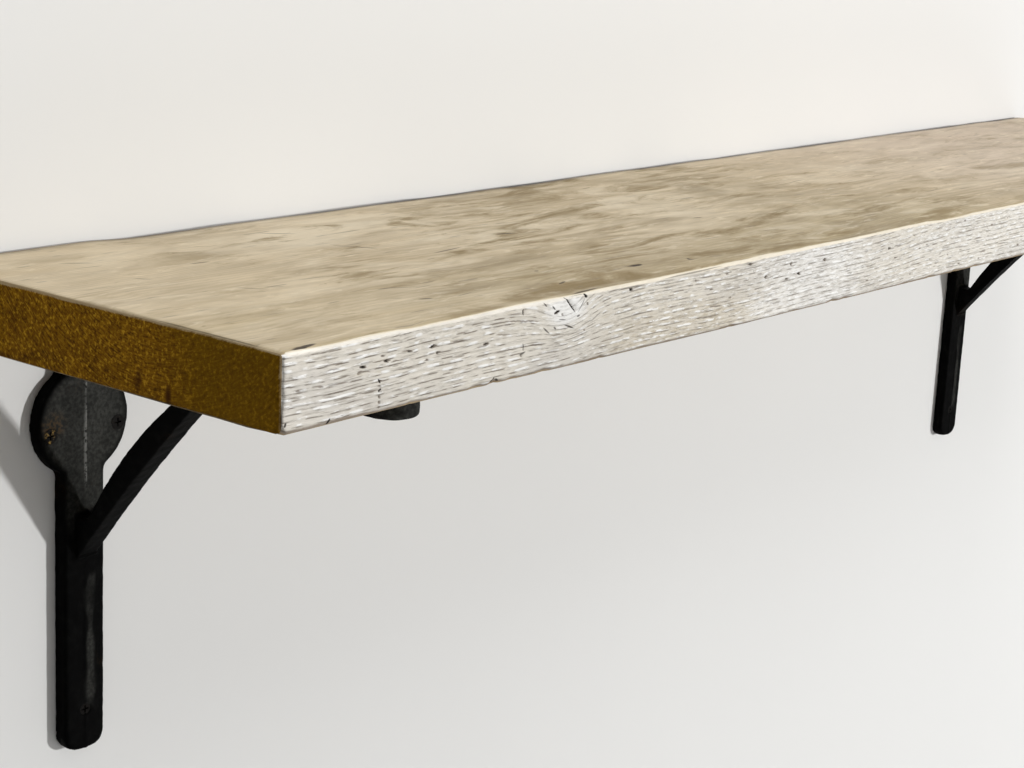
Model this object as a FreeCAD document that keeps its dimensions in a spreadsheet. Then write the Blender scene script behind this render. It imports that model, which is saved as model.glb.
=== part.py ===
"""Wall shelf: a reclaimed board on two cast-iron brackets, with its screws and wall plugs.

Millimetres. X runs along the board, Y into the wall, Z up. The wall's face is Y = 0.
The origin is the centre of the board's back edge, on the wall.
"""
import FreeCAD, Part
import math
import os
import Sketcher

# Driving dimensions: alias, value, what it measures.
SIZES = (
    ("board_length", 1066, "board, end to end"),
    ("board_depth", 225, "board, wall to front edge"),
    ("board_thickness", 35, "board, underside to top"),
    ("board_arris", 2.5, "radius worn onto the board's edges"),
    ("bracket_inset", 82, "end of the board to the middle of a bracket"),
    ("leg_length", 222, "board's underside to the leg's foot"),
    ("arm_setback", 6, "board's front edge back to the arm's nose"),
    ("bar_width", 25, "width of leg and arm"),
    ("bar_thickness", 8, "thickness of leg and arm"),
    ("disc_radius", 27.5, "round disc on leg and arm"),
    ("disc_distance", 52, "inner corner to the disc's centre"),
    ("disc_blend", 4, "fillet where the bar runs into the disc"),
    ("edge_round", 1.5, "rounded outer edges of the casting"),
    ("brace_width", 13, "brace, across the bracket"),
    ("brace_thickness", 12, "brace at its middle, seen from the side"),
    ("brace_taper", 9, "thickness that the brace loses towards leg and arm"),
    ("brace_leg_drop", 121.5, "board's underside to the brace's foot on the leg"),
    ("brace_arm_reach", 111, "wall to the brace's head on the arm"),
    ("brace_bow", 2.6, "rise of the brace's arc towards the inner corner"),
    ("brace_fillet", 5.5, "fillet where the brace leaves leg and arm"),
    ("disc_hole_margin", 6.8, "disc's rim to a screw's axis, across the bracket"),
    ("disc_hole_drop", 4, "disc's centre to the line of its two screws"),
    ("end_hole_inset", 21, "end of leg or arm to its last screw"),
    ("screw_diameter", 4, "screw shank over its thread"),
    ("screw_head_diameter", 7.6, "countersunk screw head"),
    ("screw_tip_length", 5, "pointed end of a screw"),
    ("screw_tip_diameter", 0.8, "blunt end of the point"),
    ("recess_span", 4.2, "cross recess, tip to tip"),
    ("recess_width", 0.9, "cross recess, width of a slot"),
    ("recess_depth", 1.4, "cross recess, depth"),
    ("screw_cover", 14, "wood left between a screw's tip and the board's top"),
    ("shank_clearance", 0.25, "gap round a screw's shank in the bracket"),
    ("head_clearance", 0.05, "gap round a screw's head in its countersink"),
    ("pilot_clearance", 0.05, "gap round a screw's shank in the board"),
    ("pilot_overrun", 1, "pilot hole past a screw's tip"),
    ("plug_diameter", 6, "wall plug"),
    ("plug_length", 36, "wall plug, from the wall's face"),
    ("plug_clearance", 0.1, "gap round a screw's shank in its plug"),
    ("plug_collar", 9, "unsplit length at the plug's mouth"),
    ("plug_slot", 0.8, "width of the plug's splits"),
    ("plug_groove", 0.45, "radius of the plug's ring grooves"),
    ("plug_groove_pitch", 5, "ring groove to ring groove"),
    ("screw_past_plug", 5, "screw's tip past the end of its plug"),
)
GROOVE_COUNT = 5
SIDES = {"left": -1, "right": 1}

UNDERSIDE = "-Sizes.board_thickness / 2"
ARM_LENGTH = "(Sizes.board_depth - Sizes.arm_setback)"
SHANK_RADIUS = "Sizes.screw_diameter / 2"
HEAD_RADIUS = "Sizes.screw_head_diameter / 2"
HEAD_HEIGHT = "(Sizes.screw_head_diameter - Sizes.screw_diameter) / 2"
WALL_SCREW_LENGTH = "(Sizes.bar_thickness + Sizes.plug_length + Sizes.screw_past_plug)"
BOARD_SCREW_LENGTH = "(Sizes.bar_thickness + Sizes.board_thickness - Sizes.screw_cover)"

doc = FreeCAD.newDocument("wall_shelf")
sheet = doc.addObject("Spreadsheet::Sheet", "Sizes")
for row, (alias, value, note) in enumerate(SIZES, start=1):
    sheet.set(f"A{row}", note)
    sheet.set(f"B{row}", str(value))
    sheet.setAlias(f"B{row}", alias)
doc.recompute()


def number(expression):
    """Value of an expression on the sheet's sizes."""
    return float(sheet.evalExpression(expression))


def add(kind, name, **expressions):
    """Add an object and bind its properties to the sheet."""
    item = doc.addObject(kind, name)
    for prop, expression in expressions.items():
        item.setExpression(prop, expression)
    return item


def place(item, x="0", y="0", z="0", turn=None):
    """Bind an object's position to the sheet, after an optional fixed turn."""
    if turn:
        item.Placement = FreeCAD.Placement(FreeCAD.Vector(), turn)
    for axis, expression in zip("xyz", (x, y, z)):
        item.setExpression(f"Placement.Base.{axis}", expression)
    return item


def fuse(name, shapes):
    """Join shapes into one solid."""
    item = doc.addObject("Part::MultiFuse", name)
    item.Shapes = shapes
    item.Refine = True
    return item


def cut(name, base, tools):
    """Take all the tools away from a base shape."""
    item = doc.addObject("Part::Cut", name)
    item.Base = base
    item.Tool = fuse(name + "Tools", tools) if len(tools) > 1 else tools[0]
    return item


def sketch_on(body, plane, name):
    """Add a sketch on one of the body's own origin planes."""
    sketch = body.newObject("Sketcher::SketchObject", name)
    support = next(item for item in body.Origin.OriginFeatures if item.Role == plane)
    sketch.AttachmentSupport = [(support, "")]
    sketch.MapMode = "FlatFace"
    return sketch


def relate(sketch, *relations):
    """Add geometric constraints, each a kind and its places."""
    for relation in relations:
        sketch.addConstraint(Sketcher.Constraint(*relation))


def dimension(sketch, name, expression, kind, *places):
    """Add a dimension bound to the sheet."""
    index = sketch.addConstraint(Sketcher.Constraint(kind, *places, number(expression)))
    sketch.renameConstraint(index, name)
    sketch.setExpression("Constraints." + name, expression)


def pad(body, sketch, name, length, reverse=False, middle=False):
    """Extrude a sketch to a bound length, to one side or evenly to both."""
    feature = body.newObject("PartDesign::Pad", name)
    feature.Profile = sketch
    feature.setExpression("Length", length)
    feature.Reversed = reverse
    if middle:
        feature.SideType = "Symmetric"
    doc.recompute()
    return feature


def fillet(body, base, elements, name, radius):
    """Round the named edges or faces of a feature."""
    feature = body.newObject("PartDesign::Fillet", name)
    feature.Base = (base, elements)
    feature.setExpression("Radius", radius)
    doc.recompute()
    return feature


def line(start, end):
    """Straight sketch segment between two (x, y) points."""
    return Part.LineSegment(FreeCAD.Vector(*start, 0), FreeCAD.Vector(*end, 0))


def arc(centre, radius, start, end):
    """Circular sketch arc, counter-clockwise from one (x, y) point to another."""
    angles = [math.atan2(point[1] - centre[1], point[0] - centre[0]) for point in (start, end)]
    if angles[1] < angles[0]:
        angles[1] += 2 * math.pi
    circle = Part.Circle(FreeCAD.Vector(*centre, 0), FreeCAD.Vector(0, 0, 1), radius)
    return Part.ArcOfCircle(circle, *angles)


def board_blank():
    """Board with worn edges, its back edge on the wall and the origin at that edge's centre."""
    body = doc.addObject("PartDesign::Body", "BoardBlank")
    sketch = sketch_on(body, "XY_Plane", "BoardOutline")
    half = number("Sizes.board_length / 2")
    depth = number("Sizes.board_depth")
    corners = [(-half, 0), (half, 0), (half, -depth), (-half, -depth)]
    for index, corner in enumerate(corners):
        sketch.addGeometry(line(corner, corners[(index + 1) % 4]))
    relate(sketch, *[("Coincident", i, 2, (i + 1) % 4, 1) for i in range(4)])
    relate(sketch, ("Horizontal", 2), ("Vertical", 1), ("Vertical", 3), ("Symmetric", 0, 1, 0, 2, -1, 1))
    dimension(sketch, "length", "Sizes.board_length", "DistanceX", 0, 1, 0, 2)
    dimension(sketch, "depth", "Sizes.board_depth", "DistanceY", 1, 2, 1, 1)
    slab = pad(body, sketch, "BoardSlab", "Sizes.board_thickness", middle=True)
    edges = [f"Edge{i}" for i in range(1, len(slab.Shape.Edges) + 1)]
    fillet(body, slab, edges, "BoardArris", "Sizes.board_arris")
    return body


def bar_with_disc(name, plane, length, reverse):
    """Flat bar that runs from the inner corner to a half-round end, with a round disc near its start.

    The sketch's -y is the way the bar runs, and the pad gives it its thickness on the open side.
    """
    body = doc.addObject("PartDesign::Body", name)
    half = number("Sizes.bar_width / 2")
    straight = number(length) - half
    bar = sketch_on(body, plane, name + "Outline")
    bar.addGeometry(line((-half, 0), (half, 0)))
    bar.addGeometry(line((half, 0), (half, -straight)))
    bar.addGeometry(arc((0, -straight), half, (-half, -straight), (half, -straight)))
    bar.addGeometry(line((-half, -straight), (-half, 0)))
    relate(bar, ("Coincident", 0, 2, 1, 1), ("Coincident", 3, 2, 0, 1), ("Symmetric", 0, 1, 0, 2, -1, 1))
    relate(bar, ("Vertical", 1), ("Vertical", 3), ("Tangent", 1, 2, 2, 2), ("Tangent", 2, 1, 3, 1))
    dimension(bar, "width", "Sizes.bar_width", "DistanceX", 0, 1, 0, 2)
    dimension(bar, "straight", f"{length} - Sizes.bar_width / 2", "DistanceY", 2, 3, -1, 1)
    pad(body, bar, name + "Bar", "Sizes.bar_thickness", reverse)

    disc = sketch_on(body, plane, name + "DiscOutline")
    distance = number("Sizes.disc_distance")
    disc.addGeometry(Part.Circle(FreeCAD.Vector(0, -distance, 0), FreeCAD.Vector(0, 0, 1),
                                 number("Sizes.disc_radius")))
    relate(disc, ("PointOnObject", 0, 3, -2))
    dimension(disc, "distance", "Sizes.disc_distance", "DistanceY", 0, 3, -1, 1)
    dimension(disc, "radius", "Sizes.disc_radius", "Radius", 0)
    solid = pad(body, disc, name + "Disc", "Sizes.bar_thickness", reverse)

    blended = fillet(body, solid, disc_corners(solid, half), name + "Blends", "Sizes.disc_blend")
    rounding = "min(Sizes.edge_round; Sizes.bar_thickness / 3)"
    fillet(body, blended, [open_face(blended, plane)], name + "Rounding", rounding)
    return body


def disc_corners(feature, half):
    """Names of the four short edges where the bar's sides run into the disc."""
    thickness = number("Sizes.bar_thickness")
    names = []
    for index, edge in enumerate(feature.Shape.Edges, start=1):
        ends = [vertex.Point for vertex in edge.Vertexes]
        if len(ends) < 2 or abs((ends[1] - ends[0]).Length - thickness) > 1e-6:
            continue
        x_is_side = abs(abs(ends[0].x) - half) < 1e-6 and abs(ends[1].x - ends[0].x) < 1e-6
        along = min(abs(ends[0].y) + abs(ends[0].z), abs(ends[1].y) + abs(ends[1].z))
        reach = math.sqrt(number("Sizes.disc_radius") ** 2 - half ** 2)
        if x_is_side and abs(abs(along - number("Sizes.disc_distance")) - reach) < 1e-3:
            names.append(f"Edge{index}")
    return names


def open_face(feature, plane):
    """Name of the flat face on the side away from the wall, or from the board."""
    axis = {"XZ_Plane": "y", "XY_Plane": "z"}[plane]
    level = -number("Sizes.bar_thickness")
    for index, face in enumerate(feature.Shape.Faces, start=1):
        box = face.BoundBox
        low = getattr(box, axis.upper() + "Min")
        high = getattr(box, axis.upper() + "Max")
        if abs(low - level) < 1e-6 and abs(high - level) < 1e-6:
            return f"Face{index}"
    raise RuntimeError("no open face on " + feature.Name)


def brace(name):
    """Bowed brace between leg and arm, seen from the side, with fillets on its inner side."""
    body = doc.addObject("PartDesign::Body", name)
    sketch = sketch_on(body, "YZ_Plane", name + "Outline")
    thickness = number("Sizes.bar_thickness")
    foot = (-thickness, -number("Sizes.brace_leg_drop"))
    head = (-number("Sizes.brace_arm_reach"), -thickness)
    blend = number("Sizes.brace_fillet")
    rise = "(Sizes.brace_leg_drop - Sizes.bar_thickness)"
    run = "(Sizes.brace_arm_reach - Sizes.bar_thickness)"
    chord = f"sqrt({rise}^2 + {run}^2)"
    inner_bow = "(Sizes.brace_bow + Sizes.brace_taper)"
    outer_radius = f"({chord}^2 / (8 * Sizes.brace_bow) + Sizes.brace_bow / 2)"
    inner_radius = f"({chord}^2 / (8 * {inner_bow}) + {inner_bow} / 2)"
    # Each arc's centre is on the line that halves the chord, towards the front and down.
    outer_back = f"({outer_radius} - Sizes.brace_bow)"
    inner_back = f"({inner_radius} - Sizes.brace_bow - Sizes.brace_thickness)"
    out_of = "((Sizes.bar_thickness + Sizes.brace_arm_reach) / 2 + {back} * {side} / {chord})"
    below = "((Sizes.bar_thickness + Sizes.brace_leg_drop) / 2 + {back} * {side} / {chord})"
    inner_out = out_of.format(back=inner_back, side=rise, chord=chord)
    inner_below = below.format(back=inner_back, side=run, chord=chord)
    outer_centre = (-number(out_of.format(back=outer_back, side=rise, chord=chord)),
                    -number(below.format(back=outer_back, side=run, chord=chord)))
    centre = (-number(inner_out), -number(inner_below))
    inner = number(inner_radius)
    low_y = -thickness - blend
    low = (low_y, centre[1] + math.sqrt((inner + blend) ** 2 - (low_y - centre[0]) ** 2))
    high_z = -thickness - blend
    high = (centre[0] + math.sqrt((inner + blend) ** 2 - (high_z - centre[1]) ** 2), high_z)
    share = inner / (inner + blend)
    low_join = tuple(centre[i] + (low[i] - centre[i]) * share for i in (0, 1))
    high_join = tuple(centre[i] + (high[i] - centre[i]) * share for i in (0, 1))
    on_leg = (-thickness, low[1])
    on_arm = (high[0], -thickness)
    inside = -thickness / 2

    outer = number(outer_radius)
    for piece in (arc(outer_centre, outer, foot, head), arc(centre, inner, low_join, high_join),
                  arc(low, blend, low_join, on_leg), arc(high, blend, on_arm, high_join),
                  line(foot, (inside, foot[1])), line((inside, foot[1]), (inside, on_leg[1])),
                  line((inside, on_leg[1]), on_leg), line(on_arm, (on_arm[0], inside)),
                  line((on_arm[0], inside), (head[0], inside)), line((head[0], inside), head)):
        sketch.addGeometry(piece)
    relate(sketch, ("Coincident", 0, 1, 4, 1), ("Coincident", 4, 2, 5, 1), ("Coincident", 5, 2, 6, 1),
           ("Coincident", 6, 2, 2, 2), ("Coincident", 3, 1, 7, 1), ("Coincident", 7, 2, 8, 1),
           ("Coincident", 8, 2, 9, 1), ("Coincident", 9, 2, 0, 2))
    relate(sketch, ("Tangent", 2, 1, 1, 1), ("Tangent", 1, 2, 3, 2))
    relate(sketch, ("Horizontal", 4), ("Vertical", 5), ("Horizontal", 6), ("Vertical", 7), ("Horizontal", 8),
           ("Vertical", 9), ("Horizontal", 2, 3, 2, 2), ("Vertical", 3, 3, 3, 1))
    dimension(sketch, "foot_out", "Sizes.bar_thickness", "DistanceX", 0, 1, -1, 1)
    dimension(sketch, "foot_drop", "Sizes.brace_leg_drop", "DistanceY", 0, 1, -1, 1)
    dimension(sketch, "head_reach", "Sizes.brace_arm_reach", "DistanceX", 0, 2, -1, 1)
    dimension(sketch, "head_down", "Sizes.bar_thickness", "DistanceY", 0, 2, -1, 1)
    dimension(sketch, "outer_radius", outer_radius, "Radius", 0)
    dimension(sketch, "inner_radius", inner_radius, "Radius", 1)
    dimension(sketch, "inner_out", inner_out, "DistanceX", 1, 3, -1, 1)
    dimension(sketch, "inner_below", inner_below, "DistanceY", 1, 3, -1, 1)
    dimension(sketch, "leg_fillet", "Sizes.brace_fillet", "Radius", 2)
    dimension(sketch, "arm_fillet", "Sizes.brace_fillet", "Radius", 3)
    dimension(sketch, "leg_face", "Sizes.bar_thickness", "DistanceX", 2, 2, -1, 1)
    dimension(sketch, "arm_face", "Sizes.bar_thickness", "DistanceY", 3, 1, -1, 1)
    dimension(sketch, "in_leg", "Sizes.bar_thickness / 2", "DistanceX", 4, 2, -1, 1)
    dimension(sketch, "in_arm", "Sizes.bar_thickness / 2", "DistanceY", 8, 2, -1, 1)
    pad(body, sketch, name + "Web", "Sizes.brace_width", middle=True)
    return body


# Screw places on a bar, as (across the bracket, along the bar from the inner corner).
DISC_ACROSS = "(Sizes.disc_radius - Sizes.disc_hole_margin)"
DISC_ALONG = "(Sizes.disc_distance + Sizes.disc_hole_drop)"


def screw_places(length):
    """Three screws of a bar: two astride the brace in the disc and one near the end."""
    return (("-" + DISC_ACROSS, DISC_ALONG), (DISC_ACROSS, DISC_ALONG),
            ("0", f"({length} - Sizes.end_hole_inset)"))


LEG_SCREWS = dict(zip(("upper_left", "upper_right", "lower"), screw_places("Sizes.leg_length")))
ARM_SCREWS = dict(zip(("back_left", "back_right", "front"), screw_places(ARM_LENGTH)))
INTO_WALL = FreeCAD.Rotation(FreeCAD.Vector(1, 0, 0), -90)
UPWARDS = FreeCAD.Rotation()


def screw_hole(name):
    """Countersunk hole as a solid: its mouth is at z = 0 and it runs along +z through the bar."""
    shank = add("Part::Cylinder", name + "Shank", Radius=f"{SHANK_RADIUS} + Sizes.shank_clearance",
                Height="2 * Sizes.bar_thickness")
    sink = add("Part::Cone", name + "Sink", Radius1=f"{HEAD_RADIUS} + Sizes.head_clearance",
               Radius2=f"{SHANK_RADIUS} + Sizes.head_clearance", Height=HEAD_HEIGHT)
    return fuse(name, [shank, sink])


def bracket(side):
    """One casting in its own frame: the inner corner of wall and board, at the bracket's middle."""
    name = side.capitalize() + "Bracket"
    casting = fuse(name + "Casting", [
        bar_with_disc(name + "Leg", "XZ_Plane", "Sizes.leg_length", False),
        bar_with_disc(name + "Arm", "XY_Plane", ARM_LENGTH, True),
        brace(name + "Brace"),
    ])
    holes = []
    for key, (across, along) in LEG_SCREWS.items():
        hole = screw_hole(f"{name}LegHole_{key}")
        holes.append(place(hole, across, "-Sizes.bar_thickness", "-" + along, INTO_WALL))
    for key, (across, along) in ARM_SCREWS.items():
        hole = screw_hole(f"{name}ArmHole_{key}")
        holes.append(place(hole, across, "-" + along, "-Sizes.bar_thickness", UPWARDS))
    return cut(name, casting, holes)


def screw(name, length):
    """Countersunk wood screw along +z, the top of its head at z = 0, with a cross recess."""
    head = add("Part::Cone", name + "Head", Radius1=HEAD_RADIUS, Radius2=SHANK_RADIUS, Height=HEAD_HEIGHT)
    shank = add("Part::Cylinder", name + "Shank", Radius=SHANK_RADIUS,
                Height=f"{length} - Sizes.screw_tip_length")
    tip = add("Part::Cone", name + "Tip", Radius1=SHANK_RADIUS, Radius2="Sizes.screw_tip_diameter / 2",
              Height="Sizes.screw_tip_length")
    place(tip, z=f"{length} - Sizes.screw_tip_length")
    slots = []
    for span, width in (("recess_span", "recess_width"), ("recess_width", "recess_span")):
        slot = add("Part::Box", f"{name}_{span}", Length="Sizes." + span, Width="Sizes." + width,
                   Height="Sizes.recess_depth")
        slots.append(place(slot, f"-Sizes.{span} / 2", f"-Sizes.{width} / 2"))
    return cut(name, fuse(name + "Blank", [head, shank, tip]), slots)


def wall_plug(name):
    """Split sleeve along +z from the wall's face, with ring grooves that grip the masonry."""
    sleeve = add("Part::Cylinder", name + "Sleeve", Radius="Sizes.plug_diameter / 2",
                 Height="Sizes.plug_length")
    tools = [add("Part::Cylinder", name + "Bore", Radius=f"{SHANK_RADIUS} + Sizes.plug_clearance",
                 Height="Sizes.plug_length")]
    for span, width in (("plug_diameter", "plug_slot"), ("plug_slot", "plug_diameter")):
        split = add("Part::Box", f"{name}_{span}", Length="Sizes." + span, Width="Sizes." + width,
                    Height="Sizes.plug_length - Sizes.plug_collar")
        tools.append(place(split, f"-Sizes.{span} / 2", f"-Sizes.{width} / 2", "Sizes.plug_collar"))
    for index in range(GROOVE_COUNT):
        ring = add("Part::Torus", f"{name}Groove{index}", Radius1="Sizes.plug_diameter / 2",
                   Radius2="Sizes.plug_groove")
        tools.append(place(ring, z=f"Sizes.plug_collar + {index + 0.5} * Sizes.plug_groove_pitch"))
    return cut(name, sleeve, tools)


# Assembly: every finished piece with the name of its file.
pieces = {}
pilot_holes = []
for side, sign in SIDES.items():
    middle = f"{sign} * (Sizes.board_length / 2 - Sizes.bracket_inset)"
    pieces[f"{side}_bracket"] = place(bracket(side), middle, z=UNDERSIDE)
    for key, (across, along) in LEG_SCREWS.items():
        x = f"{middle} + {across}"
        z = f"{UNDERSIDE} - {along}"
        fixing = screw(f"{side}_wall_screw_{key}", WALL_SCREW_LENGTH)
        pieces[fixing.Name] = place(fixing, x, "-Sizes.bar_thickness", z, INTO_WALL)
        sleeve = wall_plug(f"{side}_wall_plug_{key}")
        pieces[sleeve.Name] = place(sleeve, x, "0", z, INTO_WALL)
    for key, (across, along) in ARM_SCREWS.items():
        x = f"{middle} + {across}"
        y = "-" + along
        fixing = screw(f"{side}_board_screw_{key}", BOARD_SCREW_LENGTH)
        pieces[fixing.Name] = place(fixing, x, y, f"{UNDERSIDE} - Sizes.bar_thickness")
        pilot = add("Part::Cylinder", f"{side}_pilot_{key}", Radius=f"{SHANK_RADIUS} + Sizes.pilot_clearance",
                    Height=f"{BOARD_SCREW_LENGTH} - Sizes.bar_thickness + Sizes.pilot_overrun")
        pilot_holes.append(place(pilot, x, y, UNDERSIDE))
pieces["shelf_board"] = cut("ShelfBoard", board_blank(), pilot_holes)
for node, piece in pieces.items():
    piece.Label = node
doc.recompute()

failed = [item.Name for item in doc.Objects if {"Invalid", "Error"} & set(item.State)]
if failed:
    raise RuntimeError("failed objects: " + ", ".join(failed))
for node, piece in pieces.items():
    if piece.Shape.isNull() or not piece.Shape.isValid() or len(piece.Shape.Solids) != 1:
        raise RuntimeError("bad shape: " + node)

os.makedirs("parts", exist_ok=True)
for node, piece in sorted(pieces.items()):
    piece.Shape.exportStep(f"parts/{node}.step")
    box = piece.Shape.BoundBox
    print(f"{node}: volume {piece.Shape.Volume:.1f} mm3, box {box.XMin:.1f} {box.YMin:.1f} {box.ZMin:.1f} "
          f"to {box.XMax:.1f} {box.YMax:.1f} {box.ZMax:.1f}")
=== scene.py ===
"""Looks of a wall shelf: a reclaimed board on two cast-iron brackets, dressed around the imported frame."""

import logging
import math
import random
from dataclasses import dataclass
from enum import Enum
from typing import Any, Callable, ClassVar, Iterable

import bmesh
import bpy
from mathutils import Matrix, Vector, noise


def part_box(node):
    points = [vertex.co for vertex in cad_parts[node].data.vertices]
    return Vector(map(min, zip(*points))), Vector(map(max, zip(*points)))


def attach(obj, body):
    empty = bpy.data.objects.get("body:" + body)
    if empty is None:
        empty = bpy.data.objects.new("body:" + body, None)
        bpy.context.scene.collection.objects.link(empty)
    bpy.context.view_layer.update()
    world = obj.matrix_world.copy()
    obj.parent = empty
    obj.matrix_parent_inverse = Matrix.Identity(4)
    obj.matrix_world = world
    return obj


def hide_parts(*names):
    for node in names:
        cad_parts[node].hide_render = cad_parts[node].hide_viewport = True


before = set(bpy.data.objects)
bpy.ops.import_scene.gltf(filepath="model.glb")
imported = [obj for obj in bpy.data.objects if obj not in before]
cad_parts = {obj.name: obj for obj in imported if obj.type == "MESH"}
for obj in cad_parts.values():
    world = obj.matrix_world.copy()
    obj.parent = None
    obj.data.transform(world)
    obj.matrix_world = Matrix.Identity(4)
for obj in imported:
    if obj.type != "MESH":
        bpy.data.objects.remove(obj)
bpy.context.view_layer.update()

LOG = logging.getLogger("shelf")
BODY = "root"
SIDES = ("left", "right")
IMAGE_WIDTH = 1024
SENSOR_WIDTH = 36.0
MM = 0.001
SMALL = 1e-6
Colour = tuple[float, float, float]
Triple = tuple[float, float, float]
# Rows of two ends and a half width in millimetres, and a strength
Strokes = tuple[tuple[float, ...], ...]


class Zone(Enum):
    """The board's faces, each with a finish of its own."""

    TOP = 0
    FRONT = 1
    END = 2
    UNDERSIDE = 3
    BACK = 4


class Fixing(Enum):
    """The kinds of screw and plug, each with a finish of its own."""

    BRIGHT_SCREW = "bright screw"
    # The dark screw finish is a darker copy of the plated one, partly tarnish and partly painted shade.
    DARK_SCREW = "dark screw"
    PLUG = "plug"


def math_method(operation: str, reflected: bool = False) -> Callable[["Wire", Any], "Wire"]:
    """Make a method of Wire that joins it with another value by a Math node.

    Args:
        operation: the Math node's operation.
        reflected: whether the other value comes first.
    Returns:
        The method.
    """
    def join(wire: "Wire", other: Any) -> "Wire":
        """Join the wire with the other value."""
        pair = (other, wire) if reflected else (wire, other)
        return wire.recipe.math(operation, *pair)
    return join


class Wire:
    """An output socket of a material, used in plain expressions."""

    def __init__(self, recipe: "Recipe", socket: bpy.types.NodeSocket) -> None:
        """Keep the socket and the recipe it belongs to."""
        self.recipe = recipe
        self.socket = socket

    __add__ = math_method("ADD")
    __radd__ = math_method("ADD", True)
    __sub__ = math_method("SUBTRACT")
    __rsub__ = math_method("SUBTRACT", True)
    __mul__ = math_method("MULTIPLY")
    __rmul__ = math_method("MULTIPLY", True)
    __truediv__ = math_method("DIVIDE")
    __rtruediv__ = math_method("DIVIDE", True)

    def __neg__(self) -> "Wire":
        """The value with its sign turned."""
        return self * -1.0


class Recipe:
    """A material under construction, with the coordinates its patterns follow."""

    def __init__(self, name: str) -> None:
        """Start an empty material.

        Args:
            name: the material's name.
        """
        self.material = bpy.data.materials.new(name)
        self.material.use_nodes = True
        self.tree = self.material.node_tree
        self.tree.nodes.clear()
        self.place = self.node("ShaderNodeTexCoord", output="Object")
        self.flat: tuple[Wire, ...] = ()

    def node(self, kind: str, settings: dict[str, Any] | None = None,
             inputs: dict[Any, Any] | None = None, output: Any = 0) -> Wire:
        """Add any node to the material.

        Args:
            kind: the node's type.
            settings: attributes that are set first.
            inputs: values or wires by socket name or index.
            output: name or index of the socket that is returned.
        Returns:
            The wire of the wanted output.
        """
        made = self.tree.nodes.new(kind)
        for key, value in (settings or {}).items():
            setattr(made, key, value)
        for key, value in (inputs or {}).items():
            if isinstance(value, Wire):
                self.tree.links.new(value.socket, made.inputs[key])
            elif isinstance(value, tuple) and len(value) == 3 and made.inputs[key].type == "RGBA":
                made.inputs[key].default_value = (*value, 1.0)
            else:
                made.inputs[key].default_value = value
        return Wire(self, made.outputs[output])

    def math(self, operation: str, *values: Any) -> Wire:
        """Add one Math node on numbers or wires."""
        return self.node("ShaderNodeMath", {"operation": operation}, dict(enumerate(values)))

    def axes(self, flat: tuple[int, int] = (0, 1)) -> tuple[Wire, Wire, Wire]:
        """The three coordinates of a point on the piece.

        Args:
            flat: the two axes that strokes are drawn on.
        Returns:
            The wires of x, y and z.
        """
        parts = self.node("ShaderNodeSeparateXYZ", inputs={0: self.place})
        wires = tuple(Wire(self, output) for output in parts.socket.node.outputs)
        self.flat = tuple(wires[axis] for axis in flat)
        return wires

    def stretched(self, scale: Triple, shift: Triple) -> Wire:
        """The coordinates scaled along each axis and then shifted."""
        return self.node("ShaderNodeVectorMath", {"operation": "MULTIPLY_ADD"},
                         {0: self.place, 1: scale, 2: shift})

    def cloud(self, scale: float | Triple, detail: float, rough: float, warp: float = 0.0,
              shift: Triple = (0.0, 0.0, 0.0)) -> Wire:
        """Noise from 0 to 1 on stretched coordinates.

        Args:
            scale: cells per metre along each axis, or along all of them.
            detail: octaves of finer noise.
            rough: how strong the finer octaves are.
            warp: how far the noise bends itself.
            shift: moves the pattern, so that two clouds differ.
        Returns:
            The noise value.
        """
        cells = (scale,) * 3 if isinstance(scale, float) else scale
        return self.node("ShaderNodeTexNoise", None,
                         {"Vector": self.stretched(cells, shift), "Scale": 1.0, "Detail": detail,
                          "Roughness": rough, "Distortion": warp})

    def speckle(self, first: Wire, second: Wire, detail: float = 2.0, rough: float = 0.55) -> Wire:
        """Noise from 0 to 1 in a plane of two values, a cell to each whole number."""
        place = self.node("ShaderNodeCombineXYZ", None, {0: first, 1: second})
        return self.node("ShaderNodeTexNoise", None,
                         {"Vector": place, "Scale": 1.0, "Detail": detail, "Roughness": rough})

    def step(self, value: Wire, low: float, high: float) -> Wire:
        """A smooth mask: 0 below low, 1 above high; low may lie above high."""
        return self.node("ShaderNodeMapRange", {"interpolation_type": "SMOOTHSTEP"},
                         {"Value": value, "From Min": low, "From Max": high})

    def mix(self, mask: Any, first: Any, second: Any) -> Wire:
        """Blend two colours by a mask."""
        return self.node("ShaderNodeMix", {"data_type": "RGBA"}, {0: mask, 6: first, 7: second}, 2)

    def layers(self, colour: Any, *coats: tuple[Any, Any]) -> Any:
        """Lay coats over a colour, one after the other.

        Args:
            colour: the colour at the bottom.
            coats: mask and colour of each coat, from the bottom up.
        Returns:
            The colour on top.
        """
        for mask, coat in coats:
            colour = self.mix(mask, colour, coat)
        return colour

    def tint(self, colour: Wire, factor: Any) -> Wire:
        """Multiply a colour by a value."""
        return self.node("ShaderNodeVectorMath", {"operation": "SCALE"}, {0: colour, "Scale": factor})

    def stroke(self, start: tuple[float, float], end: tuple[float, float], half: float) -> Wire:
        """A thin mark on a flat face.

        Args:
            start: place of one end on the face.
            end: place of the other end.
            half: half of the mark's width.
        Returns:
            A mask that is 1 along the middle of the mark.
        """
        x, y = self.flat
        span = math.dist(start, end)
        along = ((end[0] - start[0]) / span, (end[1] - start[1]) / span)
        middle = ((start[0] + end[0]) / 2.0, (start[1] + end[1]) / 2.0)
        far = ((x - middle[0]) * along[0] + (y - middle[1]) * along[1]) / (span / 2.0 + half)
        off = ((y - middle[1]) * along[0] - (x - middle[0]) * along[1]) / half
        return self.math("MAXIMUM", 1.0 - far * far - off * off, 0.0)

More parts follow.
